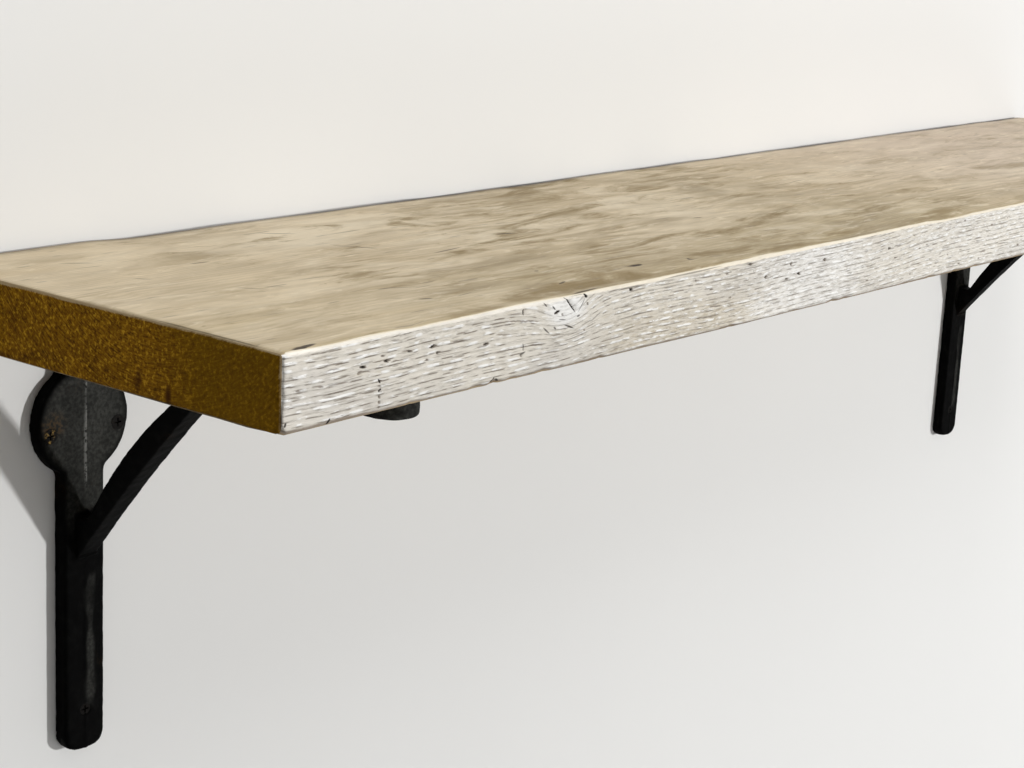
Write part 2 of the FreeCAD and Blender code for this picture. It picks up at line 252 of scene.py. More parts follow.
    def strokes(self, colour: Wire, marks: Strokes, waver: Wire, edge: tuple[float, float],
                ink: Colour) -> Wire:
        """Draw thin marks over a colour.

        Args:
            colour: the colour below.
            marks: two ends, half width and strength of each mark, its lengths in millimetres.
            waver: what breaks the marks up, about 1.
            edge: how much of a mark is bare and how much is full.
            ink: the marks' own colour.
        Returns:
            The colour with the marks on it.
        """
        for *ends, strength in marks:
            first, second, third, fourth, half = (value * MM for value in ends)
            mark = self.stroke((first, second), (third, fourth), half)
            colour = self.mix(self.step(mark * waver, *edge) * strength, colour, ink)
        return colour

    def stored(self, name: str) -> Wire:
        """A value kept on the mesh's points."""
        return self.node("ShaderNodeAttribute", {"attribute_name": name}, output="Fac")

    def relief(self, height: Wire, depth: float, strength: float = 1.0, under: Wire | None = None) -> Wire:
        """A bump for the Normal socket.

        Args:
            height: the height from 0 to 1.
            depth: what a height of 1 stands for, in metres.
            strength: how much of it shows.
            under: a bump that lies below this one.
        Returns:
            The bent normal.
        """
        inputs = {"Height": height, "Distance": depth, "Strength": strength}
        if under is not None:
            inputs["Normal"] = under
        return self.node("ShaderNodeBump", None, inputs)

    def surface(self, **sockets: Any) -> bpy.types.Material:
        """Close the material with one shader.

        Args:
            sockets: values or wires by the shader's socket names, with _ for a space.
        Returns:
            The finished material.
        """
        inputs = {name.replace("_", " "): value for name, value in sockets.items()}
        shader = self.node("ShaderNodeBsdfPrincipled", None, inputs)
        self.node_output(shader)
        return self.material

    def node_output(self, shader: Wire) -> None:
        """Link a shader to the material's output."""
        out = self.tree.nodes.new("ShaderNodeOutputMaterial")
        self.tree.links.new(shader.socket, out.inputs["Surface"])


def sine(value: Any) -> Any:
    """Sine of a number or a wire."""
    return value.recipe.math("SINE", value) if isinstance(value, Wire) else math.sin(value)


def exponent(value: Any) -> Any:
    """Exponential of a number or a wire."""
    return value.recipe.math("EXPONENT", value) if isinstance(value, Wire) else math.exp(value)


def root(value: Any) -> Any:
    """Square root of a number or a wire."""
    return value.recipe.math("SQRT", value) if isinstance(value, Wire) else math.sqrt(value)


def smooth(value: float, low: float, high: float) -> float:
    """A smooth step from 0 at low to 1 at high."""
    share = min(max((value - low) / (high - low), 0.0), 1.0)
    return share * share * (3.0 - 2.0 * share)


def lumps(x: float, y: float, z: float) -> float:
    """Smooth noise from -1 to 1."""
    return noise.noise(Vector((x, y, z)))


@dataclass(frozen=True)
class Grain:
    """How the board lay in its log: growth rings round a pith that runs along X above the board."""

    pith_y: float = -0.150
    pith_z: float = 0.083
    ring: float = 0.0021
    waves: tuple[Triple, ...] = (
        (0.0030, 0.160, 1.1), (0.0011, 0.061, 0.4), (0.0004, 0.023, 2.0), (0.0001, 0.006, 0.7))
    knot: Triple = (-0.3566, -0.225, 0.0095)
    knot_push: float = 0.0062
    knot_reach: Triple = (0.020, 0.030, 0.0125)

    def rings(self, x: Any, y: Any, z: Any) -> Any:
        """Number of growth rings between the pith and a point, for numbers or wires.

        Args:
            x: place along the board.
            y: place across it.
            z: height.
        Returns:
            The count, with its fraction.
        """
        across = y - self.pith_y
        above = z - self.pith_z
        total = root(across * across + above * above)
        for height, length, start in self.waves:
            total = total + sine(x / length + start) * height
        gap = 0.0
        for value, centre, reach in zip((x, y, z), self.knot, self.knot_reach):
            part = (value - centre) / reach
            gap = part * part + gap
        total = total - exponent(-gap) * self.knot_push
        return total / self.ring

    def along_ring(self, paint: Recipe, y: Wire, z: Wire) -> Wire:
        """Angle of a point round the pith, for marks that follow a ring."""
        return paint.math("ARCTAN2", z - self.pith_z, y - self.pith_y)


@dataclass(frozen=True)
class Mark:
    """A dent, pit, gouge or stain on one face of the board, as an ellipse."""

    along: float
    across: float
    half_along: float
    half_across: float
    depth: float
    dark: float
    slope: float = 0.0
    soft: bool = False
    STEEP: ClassVar[float] = 0.002

    @classmethod
    def line(cls, ends: tuple[float, ...], half: float, depth: float, dark: float) -> "Mark":
        """A thin mark between two points that differ along the board.

        Args:
            ends: place along and across of one end and of the other.
            half: half of the mark's width.
            depth: its depth.
            dark: its darkness from 0 to 1.
        Returns:
            The mark.
        """
        x0, z0, x1, z1 = ends
        run = x1 - x0
        slope = (z1 - z0) / run if abs(run) > cls.STEEP else 0.0
        return cls((x0 + x1) / 2.0, (z0 + z1) / 2.0, abs(run) / 2.0 + half,
                   half + (abs(z1 - z0) / 2.0 if slope == 0.0 else 0.0), depth, dark, slope)

    def at(self, along: float, across: float) -> float:
        """How much of the mark a point has.

        Args:
            along: the point's place along the board.
            across: its place across the face.
        Returns:
            A share from 0 to 1.
        """
        first = (along - self.along) / self.half_along
        second = (across - self.across - self.slope * (along - self.along)) / self.half_across
        gap = first * first + second * second
        return 0.0 if gap >= 1.0 else (1.0 - gap) ** 0.75


class Marks:
    """The marks of one face, sorted by place so that each point meets only a few."""

    CELL = 0.012

    def __init__(self, marks: Iterable[Mark]) -> None:
        """Sort the marks into cells along the board.

        Args:
            marks: the face's marks.
        """
        self.cells: dict[int, list[Mark]] = {}
        for mark in marks:
            first = math.floor((mark.along - mark.half_along) / self.CELL)
            last = math.floor((mark.along + mark.half_along) / self.CELL)
            for cell in range(first, last + 1):
                self.cells.setdefault(cell, []).append(mark)

    def at(self, along: float, across: float) -> tuple[float, float]:
        """Depth and darkness at a point.

        Args:
            along: place along the board.
            across: place across the face.
        Returns:
            Depth in metres and darkness from 0 to 1.
        """
        depth = dark = 0.0
        for mark in self.cells.get(math.floor(along / self.CELL), ()):
            share = mark.at(along, across)
            depth = max(depth, share * mark.depth)
            dark = max(dark, (share if mark.soft else min(share * 2.0, 1.0)) * mark.dark)
        return depth, dark


@dataclass(frozen=True)
class WaxedTop:
    """Sanded and waxed face: beige wood, soft grain, brown blotches, worn pale at the arris; painted shade
    along the back arris and over the middle, painted sheen towards the right end.
    """

    name: str = "board_waxed_top"
    pale: Colour = (0.655, 0.545, 0.378)
    warm: Colour = (0.560, 0.450, 0.290)
    rosy_sheen: Colour = (0.650, 0.535, 0.430)
    yellow: Colour = (0.480, 0.385, 0.220)
    brown: Colour = (0.255, 0.185, 0.085)
    light: Colour = (0.760, 0.660, 0.490)
    grey: Colour = (0.190, 0.150, 0.105)
    cream: Colour = (0.800, 0.730, 0.590)
    dust: Colour = (0.330, 0.250, 0.140)
    gouge: Colour = (0.045, 0.028, 0.014)
    checks: Strokes = (
        (-279.7, -198.6, -267.3, -200.1, 1.4, 1.0), (-235.2, -205.8, -234.4, -208.2, 1.4, 1.0),
        (-274.5, -199.2, -267.8, -200.3, 2.1, 1.0),
        (-324.6, -180.7, -323.4, -180.9, 1.0, 0.9), (-331.0, -121.3, -303.5, -118.2, 0.9, 0.75),
        (-353.5, -75.5, -342.0, -97.0, 0.9, 0.6), (-360.4, -30.0, -343.0, -42.3, 1.0, 0.6),
        (-418.0, -163.5, -392.7, -171.4, 0.7, 0.55), (-417.0, -190.0, -410.0, -192.0, 1.0, 0.8),
        (-442.0, -71.0, -430.5, -72.6, 0.9, 0.75), (-490.0, -36.0, -476.0, -45.0, 0.9, 0.5),
        (-482.0, -79.0, -476.5, -85.5, 0.9, 0.6), (-263.0, -104.8, -251.0, -108.5, 1.5, 0.75),
        (-131.0, -136.4, -125.0, -138.0, 1.1, 0.7), (-526.0, -221.6, -509.0, -218.0, 2.0, 0.95),
        (-351.0, -222.2, -326.0, -220.6, 1.0, 0.85), (-462.0, -122.5, -452.0, -134.0, 1.2, 0.4),
        (-352.2, -72.8, -351.8, -82.4, 0.6, 0.45), (-353.8, -87.1, -338.3, -93.7, 0.6, 0.50),
        (-418.6, -165.7, -404.5, -166.0, 0.6, 0.50), (-402.5, -172.8, -386.9, -171.5, 0.6, 0.40),
        (-426.0, -181.6, -421.0, -184.2, 0.7, 0.50), (-399.0, -196.1, -385.0, -193.9, 0.7, 0.40),
        (-338.3, -205.6, -330.6, -203.2, 0.8, 0.80), (-448.9, -130.9, -442.3, -133.4, 0.7, 0.50),
        (-355.3, -136.1, -335.6, -139.6, 0.6, 0.35), (-477.4, -176.9, -470.6, -179.8, 0.7, 0.40))

    def material(self, grain: Grain) -> bpy.types.Material:
        """Build the finish.

        Args:
            grain: the board's growth rings.
        Returns:
            The material.
        """
        paint = Recipe(self.name)
        step = paint.step
        x, y, z = paint.axes()
        bend = paint.cloud((5.0, 16.0, 16.0), 2.0, 0.5)
        band = paint.math("FRACT", grain.rings(x, y, z) + (bend - 0.5) * 6.0)
        late = step(band, 0.30, 0.85) * step(band, 1.0, 0.86)
        fibre = paint.cloud((18.0, 560.0, 560.0), 3.0, 0.6)
        streak = paint.cloud((9.0, 80.0, 80.0), 4.0, 0.65, 0.5, (0.4, 2.0, 0.0))
        broad = paint.cloud((4.0, 17.0, 17.0), 3.0, 0.55, 0.5)
        mottle = paint.cloud((24.0, 62.0, 62.0), 5.0, 0.66, 0.8, (2.2, 5.1, 0.0))
        smear = paint.cloud((55.0, 210.0, 210.0), 4.0, 0.62, 0.6, (8.0, 1.0, 0.0))
        haze = paint.cloud((13.0, 36.0, 36.0), 3.0, 0.58, 0.7, (9.0, 3.0, 0.0))
        blotch = paint.cloud((11.0, 38.0, 38.0), 5.0, 0.66, 1.1, (3.1, 0.7, 0.0))
        flecks = paint.cloud((42.0, 420.0, 420.0), 1.0, 0.4, 0.3, (1.7, 4.0, 0.0))
        lively = 0.45 + step(x, -0.46, -0.36) * 0.80 - step(x, -0.04, 0.12) * 0.65
        colour = paint.layers(
            self.pale,
            (step(broad, 0.34, 0.66), self.warm),
            (step(y, -0.110, -0.215) * step(broad, 0.25, 0.70) * 0.75, self.yellow),
            # Painted sheen: towards its right end the top takes a greyer, less yellow tone.
            (step(x, -0.05, 0.35) * 0.75, self.rosy_sheen),
            (late * (0.10 + step(broad, 0.3, 0.7) * 0.16), self.brown),
            (step(streak, 0.52, 0.74) * 0.40 * lively, self.brown),
            (step(haze, 0.46, 0.68) * 0.42 * lively, self.brown),
            (step(haze, 0.48, 0.30) * 0.50 * lively, self.light),
            (step(smear, 0.45, 0.28) * 0.55, self.light))
        # Painted shade: the middle stretch of the top and the strip near its front are darkened to even out
        # how the lamps fall.
        middle = step(x, -0.46, -0.38) * step(x, 0.10, -0.05)
        nearer = step(y, -0.140, -0.205) * step(x, 0.10, -0.05)
        colour = paint.tint(colour, 0.70 + fibre * 0.22 + mottle * 0.44 - middle * 0.08 - nearer * 0.06)
        near_front = step(y, -0.175, -0.222)
        ragged = (mottle - 0.5) * 1.4 + (smear - 0.5) * 1.1
        grown = step(blotch + near_front * 0.06 + ragged * 0.12, 0.49, 0.72) * 0.78 * lively
        sunk = step(paint.stored("stain") * 1.15 + ragged * 1.2 + (blotch - 0.5) * 1.6, 0.28, 1.02)
        placed = sunk * (0.42 + streak + (fibre - 0.5) * 0.5) * (0.12 + lively * 0.72)
        stain = paint.math("MAXIMUM", grown, placed)
        spots = step(smear, 0.58, 0.72) * step(mottle, 0.46, 0.62)
        colour = paint.layers(colour, (stain, self.brown), (spots * 0.65, self.brown),
                              (step(flecks, 0.68, 0.76) * 0.55, self.grey))
        colour = paint.strokes(colour, self.checks, 0.7 + fibre * 0.6, (0.10, 0.75), self.gouge)
        worn = step(paint.stored("worn") + (smear - 0.5) * 0.7, 0.30, 0.75)
        # The stored dirt is dirt in the marks and painted shade along the back arris.
        colour = paint.layers(colour, (paint.stored("dirt_and_shade") * 0.9, self.gouge), (worn, self.cream),
                              (paint.stored("dust") * 0.40, self.dust))
        gloss = 0.46 + fibre * 0.14 + stain * 0.12
        normal = paint.relief(fibre + streak + smear, 0.00014, 0.6)
        return paint.surface(Base_Color=colour, Roughness=gloss, Normal=normal, Specular_IOR_Level=0.22)


@dataclass(frozen=True)
class SawnFront:
    """Rough-sawn edge under limewash: white on the high fibres, tan and grey in the low ones; the white on
    the row crests is partly painted highlight, the dark lines under the saw rows are painted shade, and the
    tone along the front is painted to even out the key lamp.
    """

    name: str = "board_limewashed_front"
    lime: Colour = (0.92, 0.91, 0.885)
    base: Colour = (0.735, 0.690, 0.610)
    grey: Colour = (0.640, 0.605, 0.550)
    tan: Colour = (0.450, 0.375, 0.255)
    groove_and_shade: Colour = (0.185, 0.150, 0.115)
    pit: Colour = (0.030, 0.024, 0.020)
    cream: Colour = (0.920, 0.870, 0.780)
    honey: Colour = (0.910, 0.830, 0.690)
    raw: Colour = (0.270, 0.220, 0.170)
    face: float = -0.225
    knot: tuple[float, float, float, float] = (-0.3550, 0.0098, 0.0150, 0.0080)
    # The last two rows, long and low below the worn upper arris, are partly cracks and partly a painted
    # shadow line.
    cracks_and_shade_lines: Strokes = (
        (-357.1, 15.7, -348.9, 7.5, 0.75, 1.0), (-357.1, 15.5, -339.3, 15.2, 0.40, 0.8),
        (-341.9, 14.6, -340.9, 14.0, 1.00, 1.0), (-341.9, 13.9, -347.1, 7.3, 0.40, 0.6),
        (-364.0, 9.0, -360.6, 9.9, 0.75, 1.0), (-365.6, 12.5, -363.7, 10.9, 0.50, 0.9),
        (-371.8, 14.7, -369.5, 13.0, 0.50, 0.8), (-361.1, 6.1, -355.3, 5.1, 0.40, 0.7),
        (-347.4, 5.7, -345.7, 5.9, 0.60, 0.8), (-356.9, 3.1, -348.7, 0.2, 0.45, 0.8),
        (-371.7, 3.8, -366.7, 0.3, 0.50, 0.8), (-363.9, 2.8, -362.5, 1.9, 0.55, 0.8),
        (-385.7, 13.8, -385.5, 11.3, 0.60, 0.8), (-384.9, -1.7, -384.3, -4.0, 0.55, 0.7),
        (-387.1, -6.6, -382.9, -5.5, 0.60, 0.7), (-477.5, -3.2, -476.3, -4.4, 0.70, 1.0),
        (-477.2, -8.1, -475.8, -7.3, 0.65, 1.0), (-338.0, 1.3, -328.4, 5.9, 0.40, 0.5),
        (-506.6, -16.6, -505.4, -14.8, 0.80, 1.0), (-530.4, -13.4, -529.8, -12.4, 0.70, 0.9),
        (-404.7, -16.4, -403.8, -13.8, 0.70, 1.0), (-401.9, -14.8, -399.6, -16.6, 0.60, 0.9),
        (-328.0, 14.2, -290.0, 14.2, 0.30, 0.40), (-286.0, 14.6, -226.0, 14.9, 0.35, 0.55))

    def material(self, grain: Grain) -> bpy.types.Material:
        """Build the finish.

        Args:
            grain: the board's growth rings.
        Returns:
            The material.
        """
        paint = Recipe(self.name)
        step = paint.step
        x, _, z = paint.axes((0, 2))
        fibre = paint.cloud((70.0, 900.0, 900.0), 3.0, 0.65)
        speck = paint.cloud((240.0, 1100.0, 1100.0), 3.0, 0.60, 0.3, (1.0, 6.0, 3.0))
        wash = paint.cloud((14.0, 70.0, 70.0), 4.0, 0.6, 0.4)
        tone = paint.cloud((9.0, 30.0, 30.0), 3.0, 0.55, 0.3, (4.0, 2.0, 7.0))
        ragged = speck - 0.5
        count = grain.rings(x, self.face, z)
        row = paint.math("FLOOR", count)
        share = count - row
        thread = paint.speckle(x * 62.0, count * 3.1 + (wash - 0.5) * 2.0)
        dimple = paint.speckle(x * 150.0, count * 1.9 + ragged)
        hammered = step(z, 0.008, -0.006) * step(x, -0.345, -0.305) * step(x, -0.185, -0.225)
        place = x + (wash - 0.5) * 0.12
        limed = step(place, -0.235, -0.175) * step(place, -0.075, -0.140)
        # Partly painted light: the lime share rising towards the right end also lifts the front where the
        # key lamp falls off.
        patch = limed * 0.48 + step(x, -0.30, 0.10) * 0.42 + step(wash, 0.54, 0.74) * 0.45
        aside = (x - self.knot[0]) / self.knot[2]
        above = (z - self.knot[1]) / self.knot[3]
        knot = exponent(-(aside * aside + above * above))
        coarse = (1.0 - step(x, -0.42, -0.30) * 0.20) * (1.0 - knot * 0.9)
        shine = paint.speckle(x * 118.0 - row * 2.9, row * 5.1 + 40.0, 1.0, 0.4)
        ridge = step(paint.math("ABSOLUTE", share - 0.60), 0.38, 0.06)
        broken = 0.30 + step(x, -0.36, -0.28) * 0.80
        # Painted highlight, partly limewash: the crest mask whitens the upper part of the saw rows.
        crest_lime_and_highlight = ridge * step(shine + ragged * broken, 0.44, 0.66) + paint.stored("crest_lime_and_highlight") * 0.40
        dash = paint.speckle(x * 125.0 + row * 3.7, row * 7.3, 1.0, 0.5)
        # Painted shade: this mask darkens the lower side of each saw row, where its undercut is in shade.
        undercut_shade = step(paint.math("ABSOLUTE", share - 0.90), 0.18, 0.03)
        undercut_shade = undercut_shade * step(dash + ragged * 0.45, 0.43, 0.62)
        between = paint.speckle(x * 70.0 - row * 5.3, row * 3.3 + 20.0, 1.0, 0.4)
        seam = step(paint.math("ABSOLUTE", share - 0.42), 0.10, 0.03) * step(between, 0.55, 0.68)
        # The stored dirt is partly dirt in pits and cracks and partly painted shade under the saw rows.
        kept_dirt_and_shade = paint.stored("dirt_and_shade")
        dirt_and_shade = kept_dirt_and_shade + ragged * 0.45 * step(kept_dirt_and_shade, 0.02, 0.20)
        worn = step(paint.stored("worn") + ragged * 0.7 + (wash - 0.5) * 0.7, 0.10, 1.00)
        colour = paint.layers(
            self.base,
            (step(tone, 0.38, 0.66), self.grey),
            (step(wash * fibre, 0.28, 0.44) * 0.45, self.tan),
            (hammered * (0.20 + step(dimple, 0.46, 0.66) * 0.50), self.tan),
            (step(patch + ragged * 1.3, 0.15, 0.95) * 0.75, self.lime),
            (step(crest_lime_and_highlight * coarse + ragged * 0.6, 0.10, 1.05) * 0.95, self.lime),
            (step(dimple, 0.62, 0.74) * 0.40, self.lime),
            (step(knot + ragged * 0.5, 0.15, 0.75) * 0.85, self.lime),
            (undercut_shade * coarse * 0.76 + seam * coarse * 0.52, self.groove_and_shade),
            (step(thread, 0.56, 0.72) * (1.0 - knot) * 0.58, self.groove_and_shade),
            (step(speck * fibre, 0.20, 0.11) * 0.30, self.groove_and_shade),
            (step(dirt_and_shade, 0.12, 0.60) * 0.80, self.groove_and_shade),
            (worn, paint.mix(step(x, -0.36, -0.31), self.cream, self.honey)),
            # Painted shade, partly bare wood: a darker band along the lower front arris.
            (step(paint.stored("raw") + ragged * 0.8, 0.20, 1.10), self.raw),
            (step(dirt_and_shade, 0.66, 0.95), self.pit))
        colour = paint.strokes(colour, self.cracks_and_shade_lines, 0.6 + speck * 0.8, (0.12, 0.70), self.pit)
        # Painted shade: the front is darkened from near its left end onwards and lightened a little again
        # to the right of the knot, evening out how the key lamp falls.
        painted_shade = 0.95 - step(x, -0.53, -0.44) * 0.09 + step(x, -0.34, -0.28) * 0.05
        colour = paint.tint(colour, (0.78 + fibre * 0.24 + speck * 0.22) * painted_shade)
        normal = paint.relief(fibre + speck * 0.7 + crest_lime_and_highlight * 0.8 - undercut_shade * 0.8 - thread * 0.4, 0.00030, 0.8)
        return paint.surface(Base_Color=colour, Roughness=0.80 + fibre * 0.12, Normal=normal,
                             Specular_IOR_Level=0.15)


@dataclass(frozen=True)
class EndGrain:
    """Sawn end: dark oiled growth rings, ochre flecks, pale dust on the arris."""

    name: str = "board_end_grain"
    early: Colour = (0.250, 0.112, 0.0035)
    late: Colour = (0.060, 0.022, 0.0004)
    ochre: Colour = (0.440, 0.240, 0.016)
    olive: Colour = (0.140, 0.072, 0.0004)
    stain: Colour = (0.024, 0.003, 0.001)
    dust: Colour = (0.320, 0.245, 0.140)
    runs: Strokes = (
        (-140.8, -6.5, -140.2, -14.5, 2.40, 0.70), (-159.3, -10.0, -159.0, -16.5, 2.60, 0.80),
        (-61.0, -6.0, -58.0, 4.0, 2.20, 0.35), (-20.0, -15.5, -62.0, -16.5, 3.00, 0.55))

    def material(self, grain: Grain) -> bpy.types.Material:
        """Build the finish.

        Args:
            grain: the board's growth rings.
        Returns:
            The material.
        """
        paint = Recipe(self.name)
        step = paint.step
        x, y, z = paint.axes((1, 2))
        bend = paint.cloud(32.0, 2.0, 0.5)
        count = grain.rings(x, y, z) + (bend - 0.5) * 1.2
        band = paint.math("FRACT", count)
        late = step(band, 0.25, 0.8) * step(band, 1.0, 0.85)
        turn = grain.along_ring(paint, y, z)
        fleck = paint.speckle(turn * 20.0, count * 2.9, 2.0, 0.6)
        ray = paint.speckle(turn * 150.0, count * 0.8, 2.0, 0.6)
        pore = paint.cloud((900.0, 620.0, 620.0), 2.0, 0.6)
        broad = paint.cloud((20.0, 24.0, 40.0), 4.0, 0.65, 0.4)
        front = step(y, -0.140, -0.185)
        rough = 1.0 - front * 0.70
        colour = paint.layers(
            self.early,
            (late * 0.22 * rough, self.late),
            (front * 0.75, self.olive),
            (step(broad, 0.42, 0.70) * 0.60 * rough, self.late),
            (step(fleck, 0.50, 0.34) * 0.75 * rough, self.late),
            (step(fleck, 0.54, 0.70) * 0.70 * rough, self.ochre),
            (step(ray, 0.56, 0.70) * 0.18 * rough, self.ochre),
            (step(pore, 0.46, 0.30) * 0.60 * rough, self.late),
            (step(pore, 0.55, 0.68) * 0.90 * rough, self.ochre))
        colour = paint.tint(colour, 0.48 + pore * 0.68)
        colour = paint.strokes(colour, self.runs, 0.5 + pore, (0.00, 1.00), self.stain)
        rim = step(paint.stored("dust") + (fleck - 0.5) * 0.5 + (pore - 0.5) * 0.5, 0.25, 0.80)
        colour = paint.mix(rim * 0.9, colour, self.dust)
        normal = paint.relief(pore * 0.5 + fleck * 0.4 - late * 0.3, 0.00020, 0.7)
        return paint.surface(Base_Color=colour, Roughness=0.80 + pore * 0.14, Normal=normal,
                             Specular_IOR_Level=0.05)


@dataclass(frozen=True)
class RawSawn:
    """Unfinished sawn wood of the underside and back."""

    name: str = "board_raw_sawn"
    pale: Colour = (0.42, 0.33, 0.21)
    warm: Colour = (0.31, 0.225, 0.125)
    late: Colour = (0.185, 0.125, 0.065)
    grey: Colour = (0.25, 0.22, 0.18)

    def material(self, grain: Grain) -> bpy.types.Material:
        """Build the finish.

        Args:
            grain: the board's growth rings.
        Returns:
            The material.
        """
        paint = Recipe(self.name)
        step = paint.step
        x, y, z = paint.axes()
        bend = paint.cloud((5.0, 16.0, 16.0), 2.0, 0.5)
        band = paint.math("FRACT", grain.rings(x, y, z) + (bend - 0.5) * 3.0)
        late = step(band, 0.3, 0.85) * step(band, 1.0, 0.87)
        fibre = paint.cloud((20.0, 800.0, 800.0), 3.0, 0.6)
        broad = paint.cloud((5.0, 15.0, 15.0), 4.0, 0.6, 0.4)
        saw = paint.math("FRACT", x * 150.0 + (broad - 0.5) * 3.0)
        colour = paint.layers(self.pale, (step(broad, 0.35, 0.68), self.warm), (late * 0.55, self.late),
                              (step(fibre, 0.60, 0.80) * 0.5, self.grey))
        colour = paint.tint(colour, 0.82 + fibre * 0.36)
        colour = paint.mix(paint.stored("dirt_and_shade") * 0.8, colour, self.late)
        normal = paint.relief(fibre + step(saw, 0.75, 1.0) * 0.8, 0.00018, 0.7)
        return paint.surface(Base_Color=colour, Roughness=0.78 + fibre * 0.12, Normal=normal,
                             Specular_IOR_Level=0.25)


@dataclass(frozen=True)
class BlackIron:
    """Blackened cast iron: sandy cast skin, soft sheen, a little rust in the pores, and lighter rubbed
    places that are partly painted sheen.
    """

    name: str = "bracket_black_iron"
    black: Colour = (0.0012, 0.0012, 0.0012)
    worn: Colour = (0.0045, 0.0045, 0.0042)
    bare_and_painted_light: Colour = (0.0500, 0.0505, 0.0455)
    seam: Colour = (0.2400, 0.2400, 0.2250)
    rust: Colour = (0.0900, 0.0430, 0.0060)

    def material(self) -> bpy.types.Material:
        """Build the finish.

        Returns:
            The material.
        """
        paint = Recipe(self.name)
        step = paint.step
        sand = paint.cloud(1100.0, 3.0, 0.6)
        grit = paint.cloud(480.0, 3.0, 0.65, 0.0, (1.0, 9.0, 4.0))
        lump = paint.cloud(170.0, 3.0, 0.55, 0.0, (2.0, 5.0, 1.0))
        patch = paint.cloud(34.0, 4.0, 0.6, 0.3, (7.0, 1.0, 3.0))
        bare_and_painted_light = paint.stored("bare_and_painted_light")
        colour = paint.layers(
            self.black,
            (step(lump, 0.45, 0.75) * 0.6, self.worn),
            # The rubbed places are partly bare iron and partly painted sheen on the disc, neck, leg and arm
            # tip.
            (bare_and_painted_light * (0.40 + step(grit, 0.32, 0.70) * 0.60), self.bare_and_painted_light),
            (step(patch, 0.62, 0.76) * step(sand, 0.45, 0.65) * 0.20, self.rust),
            (paint.stored("seam") * step(grit, 0.34, 0.52), self.seam),
            (paint.stored("rust") * step(grit, 0.40, 0.62), self.rust))
        gloss = 0.50 + sand * 0.16 - bare_and_painted_light * 0.12
        coarse = paint.relief(lump, 0.00035, 0.6)
        normal = paint.relief(sand, 0.00012, 0.6, coarse)
        return paint.surface(Base_Color=colour, Roughness=gloss, Normal=normal, Specular_IOR_Level=0.02)


@dataclass(frozen=True)
class ScrewSteel:
    """Yellow-passivated screw steel, tarnished to a chosen degree."""

    name: str
    tarnish: float
    plated: Colour = (0.30, 0.19, 0.05)
    dull: Colour = (0.040, 0.031, 0.020)
    brown: Colour = (0.0050, 0.0042, 0.0034)

    def material(self) -> bpy.types.Material:
        """Build the finish.

        Returns:
            The material.
        """
        paint = Recipe(self.name)
        mottle = paint.cloud(420.0, 3.0, 0.6)
        film = paint.cloud(130.0, 2.0, 0.5, 0.4, (3.0, 2.0, 1.0))
        dark = paint.step(mottle, 0.95 - self.tarnish, 1.10 - self.tarnish)
        colour = paint.layers(self.plated, (paint.step(film, 0.35, 0.65), self.dull), (dark, self.brown))
        normal = paint.relief(mottle, 0.00006, 0.5)
        return paint.surface(Base_Color=colour, Metallic=1.0 - dark * 0.9, Roughness=0.44 + mottle * 0.24,
                             Normal=normal, Specular_IOR_Level=0.05)


@dataclass(frozen=True)
class PlugNylon:
    """Moulded nylon of the wall plugs, dusty from the drilled wall."""

    name: str = "plug_grey_nylon"
    nylon: Colour = (0.30, 0.31, 0.32)
    dust: Colour = (0.55, 0.53, 0.50)

    def material(self) -> bpy.types.Material:
        """Build the finish.

        Returns:
            The material.
        """
        paint = Recipe(self.name)
        mottle = paint.cloud(260.0, 4.0, 0.6)
        grain = paint.cloud(1500.0, 2.0, 0.5)
        dusty = paint.step(mottle, 0.52, 0.72)
        colour = paint.mix(dusty * 0.6, self.nylon, self.dust)
        normal = paint.relief(grain, 0.00005, 0.6)
        return paint.surface(Base_Color=colour, Roughness=0.46 + dusty * 0.3, Normal=normal)


def to_object(shape: bmesh.types.BMesh, name: str,
              finishes: Iterable[bpy.types.Material]) -> bpy.types.Object:
    """Turn a finished bmesh into an object of the scene.

    Args:
        shape: the mesh, freed here.
        name: the object's name.
        finishes: its materials, in slot order.
    Returns:
        The object.
    """
    mesh = bpy.data.meshes.new(name)
    shape.to_mesh(mesh)
    shape.free()
    for finish in finishes:
        mesh.materials.append(finish)
    mesh.shade_smooth()
    piece = bpy.data.objects.new(name, mesh)
    bpy.context.collection.objects.link(piece)
    return piece


def seat(piece: bpy.types.Object, slot: str, *nodes: str) -> None:
    """Put a piece on the body, hide the nodes of the frame that it replaces, and report it.

    Args:
        piece: the finished piece.
        slot: not used.
        nodes: the nodes of the frame that it replaces.
    """
    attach(piece, BODY)
    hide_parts(*nodes)
    piece.data.calc_loop_triangles()
    LOG.info("%s: %d triangles", piece.name, len(piece.data.loop_triangles))


